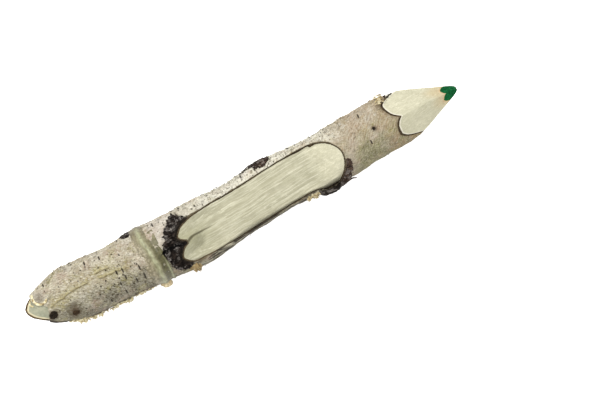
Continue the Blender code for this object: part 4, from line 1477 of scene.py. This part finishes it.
def fibre_relief(place, angle, seed, length=3.4, width=0.55):
    """Lengthwise ridges of torn bark, from 0 to about 1."""
    at = wrapped(place, angle)
    ridges = 1.0 - np.abs(noise(at, (length, width, width), seed, 2))
    return np.clip(ridges, 0.0, 1.0) * np.clip(0.75 + 0.6 * noise(at, 2.2, seed + 1, 2), 0.1, 1.3)


def rear_relief(place, angle):
    return 0.15 + 1.15 * fibre_relief(place, angle, 81)


def front_relief(place, angle):
    layers = fibre_relief(place, angle, 83, 5.0, 0.45)
    return 0.12 + 0.5 * layers + front_bulge(place) * smoothstep(0.75, 1.0, np.sin(angle))


def flake_relief(place, angle):
    return 0.1 + 0.6 * fibre_relief(place, angle, 85)


def rear_strips(rng):
    inside = seen_from_above(REAR_CRUST)
    for _ in range(110):
        along = rng.uniform(46.5, 55.0)
        turn = float(turn_at(along, rng.uniform(-9.5, 5.6)))
        back = rng.choice([-1.0, 1.0])
        slope = rng.uniform(-0.25, 0.25)
        length = rng.uniform(1.2, 2.8)
        if inside(along + 0.6 * back * length, turn) > 0.0:
            yield ((along, turn, rng.uniform(0.3, 0.8)), (back, slope), length,
                   rng.uniform(0.14, 0.3), rng.uniform(0.09, 0.16), rng.uniform(-0.4, 0.6))


def front_strips(rng):
    for share in np.linspace(0.0, 1.0, 30):
        along = 98.0 + 10.5 * share
        across = -8.6 + 4.6 * share**3 + rng.uniform(-0.2, 0.8)
        turn = float(turn_at(along, across))
        proud = 0.3 + float(front_bulge(along)) * max(math.sin(turn), 0.0)**4
        yield ((along, turn, proud + rng.uniform(-0.1, 0.25)), (1.0, -0.7 * share**2),
               rng.uniform(1.2, 2.2), rng.uniform(0.12, 0.24),
               rng.uniform(0.08, 0.15), rng.uniform(-0.6, 0.1))
    yield ((107.6, math.radians(86.0), 0.5), (1.0, 0.02), 2.8, 0.3, 0.24, 1.0)


CRUST = crust_finish()
PAPER = paper_finish()


def heap(name, node, strips, seed, aged, voxel=0.12):
    """Small loose piece of papery bark, browned with age: bent strips over each other, melted together."""
    rng = np.random.default_rng(seed)
    piece = gather(name, [splinter(*strip, rng) for strip in strips(rng)])
    fuse(piece, voxel)
    carve(piece, BUTT)
    shed(piece)
    along, turn, _ = twig_chart(corners_of(piece))
    burnt = noise(wrapped(along, turn), 0.9, seed, 2) > -0.9
    write(piece, scorched=smoothstep(128.7, 129.2, along) * burnt, aged=np.full(len(along), aged))
    put(piece, PAPER, "paper", node, sharp=60.0)


def loose_strips(count, along, across, height, slope, length, width, thick, lift, single=()):
    """Strips that lift both ways along the twig, at random in these ranges, and single ones."""
    def strips(rng):
        for _ in range(count):
            place = rng.uniform(*along)
            turn = float(turn_at(place, rng.uniform(*across)))
            yield ((place, turn, rng.uniform(*height)), (rng.choice([-1.0, 1.0]), rng.uniform(*slope)),
                   rng.uniform(*length), rng.uniform(*width), rng.uniform(*thick), rng.uniform(*lift))
        yield from single

    return strips


upper_strips = loose_strips(
    14, along=(83.6, 87.0), across=(7.6, 9.2), height=(0.2, 0.5), slope=(-0.12, 0.12), length=(1.0, 2.0),
    width=(0.14, 0.28), thick=(0.1, 0.18), lift=(-0.2, 0.4), single=(
        ((84.0, math.radians(-82.0), 0.45), (-1.0, 0.0), 6.2, 0.22, 0.16, -0.3),
        ((86.4, math.radians(-88.0), 0.4), (0.4, -0.1), 1.4, 0.16, 0.14, 0.9),
        ((87.6, math.radians(-86.0), 0.3), (1.0, 0.0), 1.6, 0.16, 0.12, 0.8),
    ))
band_strips = loose_strips(
    10, along=(36.6, 39.2), across=(6.8, 7.6), height=(0.1, 0.3), slope=(-0.2, 0.2), length=(0.8, 1.6),
    width=(0.14, 0.25), thick=(0.1, 0.16), lift=(-0.1, 0.25))


def paper_strips(along, across, spread, size, count, lift):
    """Broad strips round a place seen from above, standing off the side of the twig."""
    def strips(rng):
        for _ in range(count):
            place = along + rng.uniform(-spread, spread)
            turn = float(turn_at(place, across + rng.uniform(-0.4, 0.8)))
            heading = rng.uniform(-0.8, 0.8)
            yield ((place, turn, rng.uniform(-0.1, 0.2)), (heading, 0.6 - 0.5 * abs(heading)),
                   size * rng.uniform(0.5, 0.9), size * rng.uniform(0.22, 0.36), rng.uniform(0.12, 0.18),
                   lift * rng.uniform(0.3, 1.0))

    return strips


# Rolled edges at the butt: height, width, and corners of the line seen from above
CURL_LINES = (
    (0.3, 0.46, ((4.2, 4.9), (3.8, 3.8), (3.8, 2.7), (4.4, 1.4), (5.8, 0.75), (7.1, 0.95), (7.8, 1.6))),
    (-0.35, 0.3, ((3.1, 3.8), (2.6, 3.1), (2.4, 2.0), (3.2, 1.3))),
)


def butt_curl(_rng):
    """Rolled edge of the bark round the bare nose, and a thinner one on the bare part."""
    for height, width, corners in CURL_LINES:
        line = smooth_path(corners, step=0.35)
        for (along, across), (next_along, next_across) in zip(line[:-2], line[2:]):
            turn = float(turn_at(along, across))
            spin = (float(turn_at(next_along, next_across)) - turn) * MEAN_RADIUS
            yield ((along, turn, height), (next_along - along, spin), 1.1, width, 0.26, 0.05)


TUFT_PLACES = (14.2, 16.6, 19.6, 24.6, 30.5)


def fringe(rng):
    """Loose strips peeled along the lower side of the butt, with a few thicker tufts."""
    for _ in range(240):
        along = rng.uniform(11.0, 39.0)
        turn = min(math.radians(rng.uniform(79.0, 98.0)), lower_edge(along))
        heading = rng.choice([-1.0, 1.0]) * rng.uniform(0.35, 1.0)
        yield ((along, turn, rng.uniform(-0.3, 0.1)), (heading, 1.0 - abs(heading)), rng.uniform(0.8, 2.8),
               rng.uniform(0.14, 0.42), rng.uniform(0.09, 0.14), rng.uniform(0.1, 1.3))
    for along in TUFT_PLACES:
        for _ in range(9):
            place = along + rng.uniform(-1.3, 1.3)
            turn = min(math.radians(rng.uniform(82.0, 96.0)), lower_edge(place))
            yield ((place, turn, 0.2), (rng.uniform(-0.6, 0.6), 0.3), rng.uniform(1.0, 2.0),
                   rng.uniform(0.25, 0.5), rng.uniform(0.1, 0.16), rng.uniform(0.9, 1.9))


def shoulder_crumbs(rng):
    """Paper left at the upper edge of the shoulder, and charred crumbs on the bare corner in front of it."""
    for _ in range(46):
        heading = rng.uniform(-1.0, 0.2)
        yield ((rng.uniform(125.6, 128.2), math.radians(rng.uniform(-88.0, -46.0)), rng.uniform(0.2, 0.5)),
               (heading, (1.0 - abs(heading)) * rng.choice([-0.6, 0.6])), rng.uniform(0.6, 1.2),
               rng.uniform(0.3, 0.6), rng.uniform(0.12, 0.2), rng.uniform(-0.1, 0.35))
    facets = BVHTree.FromPolygons(*mesh_arrays(POINT))
    for share in np.linspace(0.0, 1.0, 18):
        along = 128.9 + 2.5 * share
        turn = math.radians(-56.0 - 17.0 * share + rng.uniform(-4.0, 4.0))
        facet_reach = facets.ray_cast(Vector(twig_centre(along)), Vector(around(turn)))[3]
        bare_wood = min(facet_reach - float(skin(along, turn)), float(wood_top(along, turn)))
        yield ((along, turn, bare_wood + rng.uniform(0.05, 0.2)),
               (rng.uniform(-0.6, 0.1), rng.uniform(-0.3, 0.3)),
               rng.uniform(0.4, 0.8), rng.uniform(0.2, 0.34), rng.uniform(0.2, 0.3), rng.uniform(-0.1, 0.2))


def lower_edge(along):
    """Turn at which the bark's lower side ends at the slanting cut; well under the twig where it doesn't."""
    turns = np.radians(np.arange(20.0, 115.0, 1.0))
    deep = over_butt_cut(on_skin(np.full_like(turns, along), turns))
    return float(turns[deep > 0.4].max())


def bark_shreds(rng):
    """Small lifted shreds of papery bark, most of them on the rough upper side."""
    for _ in range(620):
        along = rng.uniform(8.0, 126.0)
        turn = rng.normal(-1.35, 0.35) if rng.random() < 0.7 else rng.uniform(-2.4, 2.4)
        heading = rng.normal(0.0, 0.6)
        point = on_skin(along, turn)
        on_flat = depth_inside(PLAQUE_EDGE, point[0], point[1]) > -1.2 and point[2] > SIDE_HEIGHT
        if on_flat or over_butt_cut(point) < 1.5:
            continue
        yield ((along, turn, rng.uniform(-0.1, 0.15)), (rng.choice([-1.0, 1.0]), heading),
               rng.uniform(0.5, 1.6), rng.uniform(0.12, 0.35), rng.uniform(0.06, 0.1), rng.uniform(0.1, 0.75))


FLOOR_SIZE = 6.0
FLOOR_DROP = 0.0002
SOFTBOX_SIZE = 0.7
SOFTBOX_POWER = 6.4
SOFTBOX_PLACE = Vector((-0.10, 0.28, 0.68))


def make_floor_and_light():
    """Plain pale floor, white surroundings and a soft light from above, all in metres."""
    bpy.ops.mesh.primitive_plane_add(size=FLOOR_SIZE, location=(0.0, 0.0, -FLOOR_DROP))
    floor = bpy.context.object
    floor.name = "floor"
    pale = Finish("pale_floor", 0.9)
    pale.colour = pale.mix(pale.patches(400.0, 0.5, 0.3), (0.90, 0.90, 0.90, 1.0), (0.92, 0.92, 0.92, 1.0))
    pale.set("Emission Color", (0.6, 0.6, 0.6, 1.0))
    pale.set("Emission Strength", pale.add('ShaderNodeLightPath', {}).outputs["Is Camera Ray"])
    floor.data.materials.append(pale.finished())
    world = bpy.data.worlds.new("studio")
    world.use_nodes = True
    background = world.node_tree.nodes["Background"].inputs
    background["Color"].default_value = (1.0, 1.0, 1.0, 1.0)
    background["Strength"].default_value = 1.0
    bpy.context.scene.world = world
    light = bpy.data.lights.new("softbox", 'AREA')
    light.shape = 'DISK'
    light.size = SOFTBOX_SIZE
    light.energy = SOFTBOX_POWER
    lamp = link("softbox", light)
    lamp.location = SOFTBOX_PLACE
    lamp.rotation_mode = 'QUATERNION'
    lamp.rotation_quaternion = SOFTBOX_PLACE.to_track_quat('Z', 'Y')
    bpy.context.scene.view_settings.view_transform = 'Standard'


# The photo's width in pixels, its scale, what runs to its right, and the middle of its view in millimetres
PHOTO_WIDTH = 612
MM_PER_PIXEL = 0.3093
PHOTO_RIGHT = Vector((0.888, -0.460, 0.0)).normalized()
VIEW_CENTRE = Vector((16.5, -8.1, 10.0))
LENS = 400.0


def make_camera():
    """Camera that looks straight down, with the pencil turned as in the photo."""
    data = bpy.data.cameras.new("camera")
    data.lens = LENS
    data.clip_start = 0.01
    distance = PHOTO_WIDTH * MM_PER_PIXEL * LENS / data.sensor_width
    camera = link("camera", data)
    above = Vector(UP)
    turned = Matrix((PHOTO_RIGHT, above.cross(PHOTO_RIGHT), above)).transposed().to_4x4()
    camera.matrix_world = Matrix.Translation((VIEW_CENTRE + distance * above) * MM) @ turned
    bpy.context.scene.camera = camera


make_wood()
make_bast()
make_bark()
make_lead()
make_band()
make_knots()
torn_crust("rear_torn_bark", "rear_bark_crust", REAR_CRUST, seen_from_above,
           tear=0.4, relief=rear_relief, strips=rear_strips, seed=91)
torn_crust("front_torn_bark", "front_bark_crust", FRONT_CRUST, seen_from_above,
           tear=0.25, relief=front_relief, strips=front_strips, seed=92)
torn_crust("upper_torn_flake", "upper_bark_flake", UPPER_FLAKE, drawn_round,
           tear=0.4, relief=flake_relief, strips=upper_strips, seed=93)
torn_crust("band_torn_chip", "band_bark_flake", BAND_CHIP, drawn_round,
           tear=0.4, relief=flake_relief, strips=band_strips, seed=94)
heap("rear_paper_curl", "rear_paper_flake", seed=95, aged=1.0,
     strips=paper_strips(along=53.2, across=-10.3, spread=1.1, size=2.2, count=30, lift=1.9))
heap("front_paper_curl", "front_paper_flake", seed=96, aged=0.5,
     strips=paper_strips(along=95.4, across=-7.9, spread=1.5, size=2.2, count=30, lift=1.3))
heap("shoulder_paper_crumbs", "shoulder_paper_flake", shoulder_crumbs, seed=97, aged=0.5)
heap("butt_paper_lip", "butt_paper_curl", butt_curl, seed=98, aged=0.0)
heap("butt_paper_fringe", "butt_fringe", fringe, seed=99, aged=0.1, voxel=0.14)
drop(POINT, BUTT, PLAQUE)
make_floor_and_light()
make_camera()
